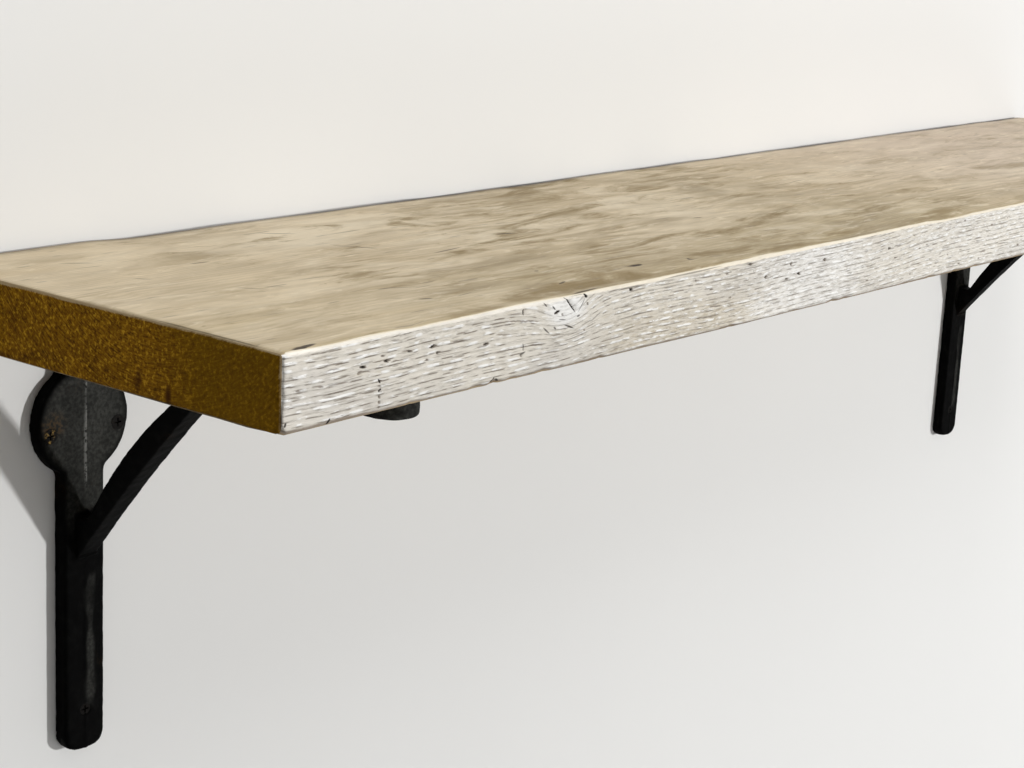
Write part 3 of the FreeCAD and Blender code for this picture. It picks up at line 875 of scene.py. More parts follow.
@dataclass
class Board:
    """The reclaimed board, with sawn, worn and waxed faces in its mesh."""

    node: str = "shelf_board"
    slot: str = "board"
    arris: float = 0.0021
    end_round: float = 0.0009
    columns: int = 410
    front_rows: int = 70
    top_front_rows: int = 15
    top_front_depth: float = 0.030
    top_rows: int = 32
    underside_rows: int = 12
    back_rows: int = 9
    edge_reach: float = 0.004
    arris_zone: float = 0.006
    end_cell: tuple[float, float] = (0.0040, 0.0025)
    dot_pitch: float = 1.9
    knot_place: tuple[float, float] = (-0.3550, 0.0095)
    knot_half: tuple[float, float] = (0.0160, 0.0085)
    tooth_pitch: float = 0.0096
    seed: int = 20

    def __post_init__(self) -> None:
        """Read the board's place and set out its marks."""
        low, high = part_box(self.node)
        self.low = Vector(low)
        self.high = Vector(high)
        self.grain = Grain()
        self.draws = random.Random(self.seed)
        self.front_marks = Marks(self._front_marks())
        self.top_marks = Marks(self._top_marks())
        self.top_stains = Marks(self._top_stains())
        self.chips = self._chips()

    def _front_marks(self) -> list[Mark]:
        """Pits, cracks and saw stops of the front edge.

        Returns:
            The marks, placed by x and z.
        """
        # Place, half length, half height and depth in millimetres, darkness and slope
        pits = (
            (-352.0, 11.6, 4.4, 0.80, 1.0, 0.4, -0.88), (-341.4, 14.4, 1.3, 1.20, 1.0, 0.8, 0.0),
            (-362.3, 9.4, 1.9, 0.90, 0.8, 0.6, 0.25), (-352.8, 1.7, 4.2, 0.55, 0.6, 0.4, -0.35),
            (-385.6, 12.5, 0.8, 1.50, 0.7, 0.6, 0.0), (-358.0, 8.0, 0.9, 0.70, 0.6, 0.6, 0.0),
            (-207.0, 13.3, 2.2, 0.70, 0.8, 0.9, 0.0), (-192.1, 5.0, 1.5, 0.80, 0.8, 0.95, 0.0),
            (-168.7, 9.0, 1.4, 0.80, 0.8, 1.0, 0.0), (-160.4, 2.9, 2.0, 0.80, 0.8, 1.0, -0.1),
            (-135.0, 7.4, 1.5, 1.00, 0.8, 0.95, 0.0), (-172.0, 1.6, 1.7, 0.60, 0.7, 0.9, 0.0),
            (-67.2, 5.8, 1.4, 0.80, 0.7, 0.95, 0.0), (-307.1, 12.8, 1.6, 0.80, 0.8, 0.95, 0.0),
            (-459.0, 6.0, 1.3, 0.60, 0.6, 0.85, 0.0), (-448.0, 0.6, 1.2, 0.60, 0.6, 0.8, 0.0),
            (-410.0, 1.9, 1.8, 0.70, 0.7, 0.9, 0.0), (-444.5, 5.9, 2.4, 0.80, 0.8, 0.95, 0.1),
            (-441.0, 2.7, 1.5, 0.70, 0.7, 0.9, 0.0), (-472.6, 4.0, 1.8, 0.70, 0.7, 0.95, 0.0),
            (-475.0, 6.4, 1.5, 0.60, 0.7, 0.8, 0.0), (-486.6, 3.6, 2.1, 0.70, 0.7, 0.95, -0.1))
        # The lines near 13 to 14 mm high, under the worn upper arris, are partly cracks and partly a
        # painted shadow line.
        # Two ends in millimetres
        lines = (
            (-399.9, 10.4, -372.0, 6.7), (-404.4, 5.0, -393.7, 3.8), (-433.1, 6.1, -422.9, 5.2),
            (-380.6, -3.0, -370.2, -4.3), (-368.6, -3.3, -346.8, -1.4), (-367.1, -0.7, -355.7, -1.5),
            (-503.4, -7.9, -490.2, -7.9), (-488.0, -7.5, -477.8, -7.6), (-509.9, 7.4, -503.9, 6.9),
            (-507.1, 5.6, -500.1, 4.8), (-501.0, 1.9, -493.9, 1.4), (-512.8, -0.5, -509.0, -0.7),
            (-524.4, -0.3, -518.1, -0.9), (-530.8, 5.9, -526.1, 5.3), (-530.7, 2.1, -526.5, 1.8),
            (-529.5, -2.7, -522.2, -3.3), (-518.9, -8.3, -510.9, -8.5), (-494.8, 10.1, -489.3, 9.9),
            (-489.5, 2.1, -481.6, 1.0), (-472.0, 1.5, -464.5, 1.1), (-464.2, 6.7, -458.3, 6.3),
            (-471.3, 12.0, -465.0, 11.7), (-317.5, 13.9, -296.0, 13.7), (-290.0, 13.8, -272.7, 13.6),
            (-268.6, 13.4, -243.2, 12.9), (-236.3, 13.2, -225.8, 13.4), (-217.5, 13.6, -200.5, 13.4),
            (-293.9, 10.7, -288.0, 10.1), (-284.2, 10.2, -263.3, 10.5), (-316.5, 5.3, -303.9, 4.7),
            (-293.3, 4.9, -270.4, 4.5), (-276.2, 7.5, -262.9, 7.2), (-249.4, 7.8, -238.9, 7.3),
            (-232.7, 4.4, -220.9, 4.2), (-235.5, 8.1, -219.0, 7.7), (-254.3, -8.2, -235.7, -9.7),
            (-242.2, -4.1, -230.4, -4.7), (-304.3, -1.6, -300.1, -1.9), (-85.7, 10.4, -75.8, 9.8),
            (-59.8, 8.3, -43.8, 8.5), (-41.2, 10.4, -38.1, 9.7))
        # Place along the board, lower and upper end in millimetres, and darkness
        dotted = ((-476.5, -15.0, -3.6, 0.9), (-385.0, -7.0, -2.0, 0.75),
                  (-431.0, -10.0, -5.0, 0.5), (238.0, -13.0, 6.0, 0.8))
        marks = [Mark(*(value * MM for value in sizes), dark, slope) for *sizes, dark, slope in pits]
        marks += [Mark.line(tuple(value * MM for value in ends), 0.0005, 0.0005,
                            self.draws.uniform(0.28, 0.52)) for ends in lines]
        for x, low, high, dark in dotted:
            count = max(2, round((high - low) / self.dot_pitch))
            for index in range(count):
                z = low + (high - low) * index / (count - 1)
                along, *halves = self._draw((-0.5, 0.5), (0.0006, 0.0010), (0.0005, 0.0008))
                marks.append(Mark((x + along) * MM, z * MM, *halves, 0.0008,
                                  dark * self.draws.uniform(0.6, 1.0)))
        for index in range(150):
            part = ((-0.53, 0.53), (0.0, 0.53))[index % 2]
            marks.append(Mark(*self._draw(part, (-0.013, 0.013), (0.0008, 0.0018), (0.0004, 0.0007),
                                          (0.0003, 0.0006), (0.2, 0.8))))
        for index in range(120):
            part = ((-0.52, -0.37), (-0.33, 0.05), (0.05, 0.52), (0.05, 0.52))[index % 4]
            x, z, run, tilt, dark = self._draw(part, (-0.013, 0.013), (0.004, 0.016), (-0.04, 0.02),
                                               (0.18, 0.50))
            ends = (x - run / 2.0, z, x + run / 2.0, z + tilt * run)
            marks.append(Mark.line(ends, 0.0005, 0.0004, dark))
        return marks

    def _draw(self, *ranges: tuple[float, float]) -> list[float]:
        """One random number from each range, in order."""
        return [self.draws.uniform(low, high) for low, high in ranges]

    def _top_marks(self) -> list[Mark]:
        """Gouges, slits and dents of the top.

        Returns:
            The marks, placed by x and y.
        """
        marks = [Mark(-0.5200, -0.2204, 0.0085, 0.0013, 0.0009, 0.3, 0.20),
                 Mark(-0.2730, -0.1995, 0.0068, 0.0020, 0.0009, 0.3, -0.12),
                 Mark(-0.2348, -0.2070, 0.0022, 0.0022, 0.0010, 0.3)]
        for _ in range(90):
            *sizes, slope = self._draw((-0.52, 0.52), (-0.222, -0.004), (0.012, 0.036), (0.007, 0.018),
                                       (0.0003, 0.0008), (-0.08, 0.08))
            marks.append(Mark(*sizes, 0.0, slope))
        for _ in range(12):
            *sizes, dark, slope = self._draw((0.08, 0.52), (-0.222, -0.196), (0.004, 0.009), (0.2, 0.5),
                                             (-0.1, 0.1))
            marks.append(Mark(*sizes, 0.0012, 0.0008, dark, slope))
        return marks

    def _top_stains(self) -> list[Mark]:
        """Soft brown patches where the wax has sunk in.

        Returns:
            The patches, placed by x and y.
        """
        # Place, half length and half width in millimetres, darkness and slope
        placed = (
            (-335.0, -212.0, 34.0, 11.0, 0.95, 0.1), (-431.0, -219.5, 30.0, 8.0, 0.80, 0.0),
            (18.0, -212.0, 48.0, 11.0, 0.95, 0.1), (-396.0, -136.0, 34.0, 9.0, 0.70, 0.05),
            (-356.0, -82.0, 16.0, 20.0, 0.50, 0.0), (-370.0, -48.0, 18.0, 14.0, 0.45, 0.0),
            (-167.0, -166.0, 14.0, 8.0, 0.60, 0.4), (-131.0, -188.0, 24.0, 10.0, 0.70, 0.3),
            (-150.0, -172.0, 30.0, 12.0, 0.55, 0.1), (-80.0, -160.0, 44.0, 16.0, 0.60, 0.1),
            (60.0, -196.0, 50.0, 18.0, 0.65, 0.1), (-10.0, -140.0, 46.0, 14.0, 0.55, -0.1),
            (120.0, -100.0, 60.0, 16.0, 0.45, 0.0), (-120.0, -110.0, 46.0, 14.0, 0.50, 0.1),
            (-290.0, -196.0, 44.0, 13.0, 0.60, 0.0), (-200.0, -130.0, 36.0, 12.0, 0.50, 0.1),
            (-32.0, -183.0, 30.0, 9.0, 0.65, 0.0), (66.0, -157.0, 38.0, 10.0, 0.65, 0.0),
            (155.0, -148.0, 44.0, 9.0, 0.60, 0.0), (-471.0, -198.0, 26.0, 7.0, 0.65, 0.0),
            (-466.0, -126.0, 40.0, 13.0, 0.50, -0.1), (-257.0, -107.0, 22.0, 9.0, 0.75, 0.0),
            (-250.0, -160.0, 46.0, 8.0, 0.55, 0.05), (-40.0, -110.0, 40.0, 12.0, 0.55, 0.0),
            (-316.0, -178.0, 20.0, 9.0, 0.55, 0.0), (-205.0, -60.0, 50.0, 16.0, 0.45, 0.0),
            (-90.0, -212.0, 40.0, 8.0, 0.65, 0.0), (-215.0, -214.0, 36.0, 7.0, 0.50, 0.0))
        stains = [Mark(*(value * MM for value in sizes), 0.0, dark, slope, True)
                  for *sizes, dark, slope in placed]
        for _ in range(26):
            *sizes, dark, slope = self._draw((0.10, 0.52), (-0.22, -0.01), (0.018, 0.05), (0.006, 0.014),
                                             (0.4, 0.9), (-0.1, 0.2))
            stains.append(Mark(*sizes, 0.0, dark, slope, True))
        return stains

    def _chips(self) -> list[Triple]:
        """Breaks along the lower front arris.

        Returns:
            Place, half length and size of each chip, in metres.
        """
        chips = [(-0.403, 0.0045, 0.0030), (-0.330, 0.0080, 0.0024), (-0.222, 0.0070, 0.0024),
                 (-0.123, 0.0070, 0.0026)]
        chips += [tuple(self._draw((-0.47, 0.53), (0.0035, 0.0090), (0.0018, 0.0025))) for _ in range(24)]
        return chips

    def build(self) -> bpy.types.Object:
        """Model, mark and dress the board.

        Returns:
            The board.
        """
        shape = self._blank()
        self._divide(shape)
        self._cut_ends(shape)
        self._zone_faces(shape)
        self._age(shape)
        finishes = {Zone.TOP: WaxedTop(), Zone.FRONT: SawnFront(), Zone.END: EndGrain(),
                    Zone.UNDERSIDE: RawSawn(), Zone.BACK: RawSawn("board_raw_back")}
        materials = [finishes[zone].material(self.grain) for zone in Zone]
        board = to_object(shape, "board", materials)
        seat(board, self.slot, self.node)
        return board

    def _blank(self) -> bmesh.types.BMesh:
        """A plain board with rounded arrises.

        Returns:
            Its mesh.
        """
        shape = bmesh.new()
        low, high = self.low, self.high
        corners = [shape.verts.new((low.x, y, z)) for y, z in
                   ((low.y, low.z), (low.y, high.z), (high.y, high.z), (high.y, low.z))]
        shape.faces.new(corners)
        bmesh.ops.bevel(shape, geom=corners, offset=self.arris, offset_type="OFFSET", segments=3,
                        profile=0.5, affect="VERTICES", material=-1)
        far = bmesh.ops.extrude_face_region(shape, geom=list(shape.faces))["geom"]
        bmesh.ops.translate(shape, vec=(high.x - low.x, 0.0, 0.0),
                            verts=[item for item in far if isinstance(item, bmesh.types.BMVert)])
        bmesh.ops.recalc_face_normals(shape, faces=list(shape.faces))
        rims = [edge for edge in shape.edges if abs(edge.verts[0].co.x - edge.verts[1].co.x) < SMALL]
        bmesh.ops.bevel(shape, geom=rims, offset=self.end_round, offset_type="OFFSET", segments=2,
                        profile=0.5, affect="EDGES", material=-1)
        return shape

    @staticmethod
    def _within(axis: int, low: float, high: float) -> Callable[[Vector], bool]:
        """A test that a point lies in a range along one axis, both ends included."""
        return lambda point: low - SMALL < point[axis] < high + SMALL

    @staticmethod
    def _runs(shape: bmesh.types.BMesh, axis: int, least: float,
              *tests: Callable[[Vector], bool]) -> list[bmesh.types.BMEdge]:
        """Edges that run along one axis.

        Args:
            shape: the mesh.
            axis: 0, 1 or 2 for x, y or z.
            least: length that they are longer than.
            tests: what both ends of the edge have to pass.
        Returns:
            The edges.
        """
        found = []
        for edge in shape.edges:
            first, second = (vert.co for vert in edge.verts)
            span = second - first
            others = [abs(span[index]) for index in range(3) if index != axis]
            if abs(span[axis]) > least and max(others) < SMALL:
                if all(test(first) and test(second) for test in tests):
                    found.append(edge)
        return found

    def _rows(self, shape: bmesh.types.BMesh, axis: int, rows: int,
              *tests: Callable[[Vector], bool]) -> None:
        """Divide the flat part of a long face.

        Args:
            shape: the mesh, changed in place.
            axis: 1 or 2, for the way across the face.
            rows: how many rows it gets.
            tests: what the points of the face pass.
        """
        edges = self._runs(shape, axis, self.arris + MM, *tests)
        bmesh.ops.subdivide_edges(shape, edges=edges, cuts=rows - 1, use_grid_fill=True)

    def _divide(self, shape: bmesh.types.BMesh) -> None:
        """Cut the long faces into columns and rows.

        Args:
            shape: the mesh, changed in place.
        """
        low, high = self.low, self.high
        long_edges = self._runs(shape, 0, (high.x - low.x) / 2.0)
        bmesh.ops.subdivide_edgering(shape, edges=long_edges, interp_mode="LINEAR", cuts=self.columns - 1,
                                     profile_shape="SMOOTH", profile_shape_factor=0.0)
        on_front = self._within(1, low.y, low.y)
        on_top = self._within(2, high.z, high.z)
        self._rows(shape, 2, self.front_rows, on_front)
        self._rows(shape, 2, self.back_rows, self._within(1, high.y, high.y))
        self._rows(shape, 1, self.underside_rows, self._within(2, low.z, low.z))
        self._rows(shape, 1, 2, on_top)
        split = low.y + self.top_front_depth
        middle = (low.y + high.y) / 2.0
        for vert in shape.verts:
            if on_top(vert.co) and abs(vert.co.y - middle) < self.arris:
                vert.co.y = split
        self._rows(shape, 1, self.top_front_rows, on_top, self._within(1, low.y, split))
        self._rows(shape, 1, self.top_rows, on_top, self._within(1, split, high.y))
        edges = self._runs(shape, 0, 0.0, on_front)
        bmesh.ops.subdivide_edges(shape, edges=edges, cuts=1, use_grid_fill=True)

    def _cut_ends(self, shape: bmesh.types.BMesh) -> None:
        """Cut the two ends into small cells.

        Args:
            shape: the mesh, changed in place.
        """
        low, high = self.low, self.high
        for x in (low.x, high.x):
            cuts = []
            for axis, cell in zip((1, 2), self.end_cell):
                for index in range(1, round((high[axis] - low[axis]) / cell)):
                    place, normal = Vector((x, 0.0, 0.0)), Vector()
                    place[axis] = low[axis] + cell * index
                    normal[axis] = 1.0
                    cuts.append((place, normal))
            faces = [face for face in shape.faces
                     if all(abs(vert.co.x - x) < SMALL for vert in face.verts)]
            for place, normal in cuts:
                near = dict.fromkeys(faces)
                near.update(dict.fromkeys(edge for face in faces for edge in face.edges))
                near.update(dict.fromkeys(vert for face in faces for vert in face.verts))
                cut = bmesh.ops.bisect_plane(shape, geom=list(near), dist=SMALL / 10.0, plane_co=place,
                                             plane_no=normal)
                faces = [item for item in cut["geom"] if isinstance(item, bmesh.types.BMFace)]

    def _zone_faces(self, shape: bmesh.types.BMesh) -> None:
        """Give each face the finish of the side it looks to.

        Args:
            shape: the mesh, changed in place.
        """
        shape.normal_update()
        for face in shape.faces:
            normal = face.normal
            if abs(normal.x) > 0.75:
                zone = Zone.END
            elif normal.y < -0.30 and normal.z > -0.92:
                zone = Zone.FRONT
            elif normal.z > 0.5:
                zone = Zone.TOP
            elif normal.y > 0.6:
                zone = Zone.BACK
            else:
                zone = Zone.UNDERSIDE
            face.material_index = zone.value

    def _coarse(self, x: float) -> float:
        """How strongly the saw's teeth show.

        Args:
            x: place along the front.
        Returns:
            A share from 0 to 1.
        """
        if x > 0.05:
            return 0.25 + 0.7 * smooth(lumps(x * 7.0, 1.3, 0.2), 0.0, 0.35)
        return 0.25 + 0.75 * (1.0 - smooth(x, -0.42, -0.30))

    def _front_at(self, x: float, z: float) -> tuple[float, float, float]:
        """Depth, darkness and whiteness of the sawn front: the darkness is dirt in the marks and painted
        shade under the saw rows, the whiteness is limewash and painted highlight on the row crests.

        Args:
            x: place along the board.
            z: height.
        Returns:
            Depth in metres, dirt and painted shade, and whiteness from 0 to 1.
        """
        count = self.grain.rings(x, self.low.y, z)
        row = math.floor(count)
        share = count - row
        aside = (x - self.knot_place[0]) / self.knot_half[0]
        above = (z - self.knot_place[1]) / self.knot_half[1]
        knot = math.exp(-aside ** 2 - above ** 2)
        coarse = self._coarse(x) * (1.0 - knot)
        fade = smooth(lumps(x * 24.0, z * 90.0, 6.0), -0.50, 0.10)
        tooth = x / self.tooth_pitch + row * 0.618 + 0.6 * lumps(x * 20.0, row * 3.7, 1.0)
        cell = math.floor(tooth)
        hump = math.sin(math.pi * (tooth - cell)) ** 1.2
        bright = smooth(lumps(cell * 0.73 + 0.4, row * 1.91 + 0.3, 8.0), -0.02, 0.28)
        dark = smooth(lumps(cell * 0.81 + 0.7, row * 1.37 + 0.6, 3.0), -0.22, 0.20)
        rise = share / 0.76 if share < 0.76 else (1.0 - share) / 0.24
        torn = 0.30 + 0.70 * hump * fade * (0.35 + 0.65 * bright)
        depth = 0.00055 * coarse * (1.0 - torn * rise ** 0.8)
        # Painted shade: a dark line along the lower side of each saw row, where its undercut falls in
        # shade.
        dirt_and_shade = coarse * hump * dark * fade * math.exp(-((share - 0.89) / 0.09) ** 2) * 0.30
        # Painted highlight, partly limewash: white along the upper part of each saw row.
        white = coarse * hump * bright * fade * smooth(share, 0.25, 0.55) * smooth(share, 0.86, 0.74) * 1.15
        fine = count * 1.6 + 0.25 * lumps(x * 18.0, z * 90.0, 4.0)
        line = fine - math.floor(fine)
        run = smooth(lumps(x * 17.0, math.floor(fine) * 5.3, 9.0), -0.25, 0.30)
        light = (1.1 - coarse) * (1.0 - knot)
        depth += 0.00030 * light * (1.0 - (0.4 + 0.6 * run) * min(line / 0.8, (1.0 - line) / 0.2))
        # The finer rows get the same painted shade at their lower side and painted highlight above it.
        dirt_and_shade = max(dirt_and_shade, light * math.exp(-((line - 0.88) / 0.10) ** 2) * run * 0.30)
        white = max(white, light * run * smooth(line, 0.25, 0.60) * smooth(line, 0.86, 0.74) * 0.7)
        white = max(white, 0.80 * knot)
        depth += 0.00016 * (lumps(x * 160.0, z * 800.0, 2.0) + 0.6)
        mark_depth, mark_dirt = self.front_marks.at(x, z)
        wave = 0.0004 * (1.0 + math.sin(x / 0.083 + 0.7)) + 0.0003 * (1.0 + lumps(x * 22.0, 0.5, 0.5))
        return depth + mark_depth + wave, max(dirt_and_shade, mark_dirt), white

    def _top_at(self, x: float, y: float) -> tuple[float, float]:
        """Depth and dirt of the worn top.

        Args:
            x: place along the board.
            y: place across it.
        Returns:
            Depth in metres and dirt from 0 to 1.
        """
        wave = 0.00055 * (1.0 + lumps(x * 9.0, y * 26.0, 1.0))
        wave += 0.00030 * (1.0 + lumps(x * 24.0, y * 70.0, 3.0))
        front = smooth(y, self.low.y + 0.020, self.low.y)
        wave += front * 0.0006 * (1.0 + lumps(x * 17.0, 2.0, 7.0))
        back = smooth(y, self.high.y - 0.020, self.high.y)
        wave += back * 0.0008 * (1.0 + lumps(x * 13.0, 6.0, 7.0))
        wave *= 1.0 - 0.85 * smooth(y, self.high.y - 0.060, self.high.y - 0.005) * smooth(x, -0.41, -0.45)
        mark_depth, mark_dirt = self.top_marks.at(x, y)
        return wave + mark_depth, mark_dirt

    def _end_at(self, y: float, z: float) -> float:
        """Depth of the sawn ends, in metres, at a place across the board and a height."""
        depth = 0.00012 * (1.0 + math.sin((y * 0.9 + z * 0.3) / 0.0009))
        return depth + 0.0003 * (1.0 + lumps(y * 40.0, z * 40.0, 5.0))

    def _age(self, shape: bmesh.types.BMesh) -> None:
        """Press saw rows, pits, dents, chips and wear into the mesh, and keep them as point values, among
        them painted shade and painted highlight.

        Args:
            shape: the mesh, changed in place.
        """
        names = ("dirt_and_shade", "worn", "raw", "crest_lime_and_highlight", "stain", "dust")
        layers = {name: shape.verts.layers.float.new(name) for name in names}
        low, high, reach = self.low, self.high, self.edge_reach
        for vert in shape.verts:
            x, y, z = vert.co
            shift = Vector()
            kept = dict.fromkeys(names, 0.0)
            near = [max(0.0, 1.0 - gap / reach) for gap in
                    (y - low.y, high.z - z, z - low.z, high.y - y, x - low.x, high.x - x)]
            front, top, under, back, left, right = near
            end = max(left, right)
            if front > 0.0:
                depth, dark, white = self._front_at(x, z)
                shift.y += depth * front
                kept["dirt_and_shade"] = dark * smooth(front, 0.3, 0.95)
                kept["crest_lime_and_highlight"] = white * front
            if top > 0.0:
                depth, dark = self._top_at(x, y)
                shift.z -= depth * top
                kept["dirt_and_shade"] = max(kept["dirt_and_shade"], dark * smooth(top, 0.3, 0.95))
                kept["stain"] = self.top_stains.at(x, y)[1]
            if under > 0.0:
                depth = 0.00012 * (1.0 + lumps(x * 14.0, y * 40.0, 8.0))
                depth += front * 0.00022 * (1.0 + math.sin(x / 0.061 + 2.0))
                depth += front * 0.00018 * (1.0 + lumps(x * 40.0, 3.0, 3.0))
                shift.z += depth * under
            if back > 0.0:
                shift.y -= back * 0.0004 * (1.0 + lumps(x * 11.0, z * 60.0, 4.0))
                # Painted shade: a dark line along the back arris of the top, where the gap to the wall lies
                # in shadow.
                painted_shade = 0.60 + 0.40 * smooth(lumps(x * 12.0, 2.0, 5.0), -0.4, 0.3)
                rim = smooth(high.y - y, 0.0060, 0.0015) * smooth(top, 0.0, 0.3)
                kept["dirt_and_shade"] = max(kept["dirt_and_shade"], painted_shade * rim)
            if end > 0.0:
                shift.x += self._end_at(y, z) * (left - right)
                moved, kept["dust"] = self._wear_end(x, y, z)
                shift += moved
            vert.co += shift
            if front > 0.0 and z > high.z - self.arris_zone:
                kept["worn"] = self._wear_top_arris(vert, x, y, z) * (1.0 - smooth(end, 0.0, 0.5))
            if front > 0.0 and z < low.z + self.arris_zone:
                kept["raw"], broken = self._chip_low_arris(vert, x, y, z)
                kept["dirt_and_shade"] = max(kept["dirt_and_shade"], broken)
            for name, value in kept.items():
                vert[layers[name]] = min(value, 1.0)

    def _wear_end(self, x: float, y: float, z: float) -> tuple[Vector, float]:
        """Rub the arrises of an end and knock off its lower front corner.

        Args:
            x: place along the board.
            y: place across it.
            z: height.
        Returns:
            How far the point moves, and its dust from 0 to 1.
        """
        low, high = self.low, self.high
        inward = math.copysign(1.0, -x)
        gap = min(x - low.x, high.x - x)
        rim = max(smooth(high.z - z, 0.0031, 0.0011), 0.7 * smooth(y - low.y, 0.0030, 0.0008))
        uneven = 0.70 + 0.30 * smooth(lumps(y * 90.0, z * 90.0, x), -0.3, 0.3)
        upper = 0.0013 + 0.0005 * lumps(y * 45.0, x, 3.0) - gap - high.z + z
        front = 0.0017 + 0.0013 * lumps(z * 150.0, x, 8.0) - gap - y + low.y
        corner = 0.0050 - gap - (y - low.y) - (z - low.z)
        shift = Vector((inward, 0.0, -1.0)) * (max(upper, 0.0) / 2.0)
        shift += Vector((inward, 1.0, 0.0)) * (max(front, 0.0) / 2.0)
        shift += Vector((inward, 1.0, 1.0)) * (max(corner, 0.0) / 3.0)
        return shift, rim * smooth(gap, 0.0030, 0.0010) * uneven

    def _wear_top_arris(self, vert: bmesh.types.BMVert, x: float, y: float, z: float) -> float:
        """Rub the upper front arris down by an uneven amount.

        Args:
            vert: a point near it, moved in place.
            x: where the point stood along the board.
            y: where it stood across the board.
            z: its height before.
        Returns:
            How worn the point is, from 0 to 1.
        """
        size = 0.0024 + 0.0007 * lumps(x * 15.0, 4.0, 2.0) + 0.0004 * lumps(x * 70.0, 1.0, 6.0)
        gap_y = y - self.low.y
        gap_z = self.high.z - z
        lack = size - gap_y - gap_z
        if lack > 0.0:
            vert.co.y += lack * 0.5
            vert.co.z -= lack * 0.5
        if gap_y > gap_z:
            return smooth(gap_y, 0.0029, 0.0012)
        reach = 0.0038 + 0.0006 * lumps(x * 28.0, 9.0, 2.0) - 0.0005 * smooth(x, -0.38, -0.32)
        reach -= 0.0008 * smooth(x, -0.22, 0.05)
        return smooth(gap_z, reach, reach - 0.0020)

    def _chip_low_arris(self, vert: bmesh.types.BMVert, x: float, y: float,
                        z: float) -> tuple[float, float]:
        """Break the lower front arris.

        Args:
            vert: a point near it, moved in place.
            x: where the point stood along the board.
            y: where it stood across the board.
            z: its height before.
        Returns:
            How bare the point is, where a band along the lower arris is partly bare wood and partly painted
            shade, and how dark a break it lies in, from 0 to 1.
        """
        size = 0.0015 + 0.0004 * lumps(x * 60.0, 2.0, 2.0) + 0.0003 * lumps(x * 210.0, 5.0, 1.0)
        chip = 0.0
        for place, half, large in self.chips:
            gap = abs(x - place) / half
            if gap < 1.0:
                chip = max(chip, large * (1.0 - gap * gap) ** 0.5 + 0.0005 * lumps(x * 420.0, place, 0.0))
        gap_y = y - self.low.y
        gap_z = z - self.low.z
        lack = max(size, chip) - gap_y - gap_z
        if lack > 0.0:
            vert.co.y += lack * 0.5
            vert.co.z += lack * 0.5
        # Painted shade, partly bare wood: a darker band along the lower front arris.
        band = 0.0034 - 0.0014 * smooth(x, -0.50, -0.47) + 0.0006 * lumps(x * 40.0, 7.0, 3.0)
        bare_and_painted_light = smooth(gap_z, band, band * 0.20)
        broken = 0.5 * smooth(chip, 0.0022, 0.0030) * smooth(gap_y + gap_z, chip + 0.0006, chip * 0.6)
        return bare_and_painted_light, broken


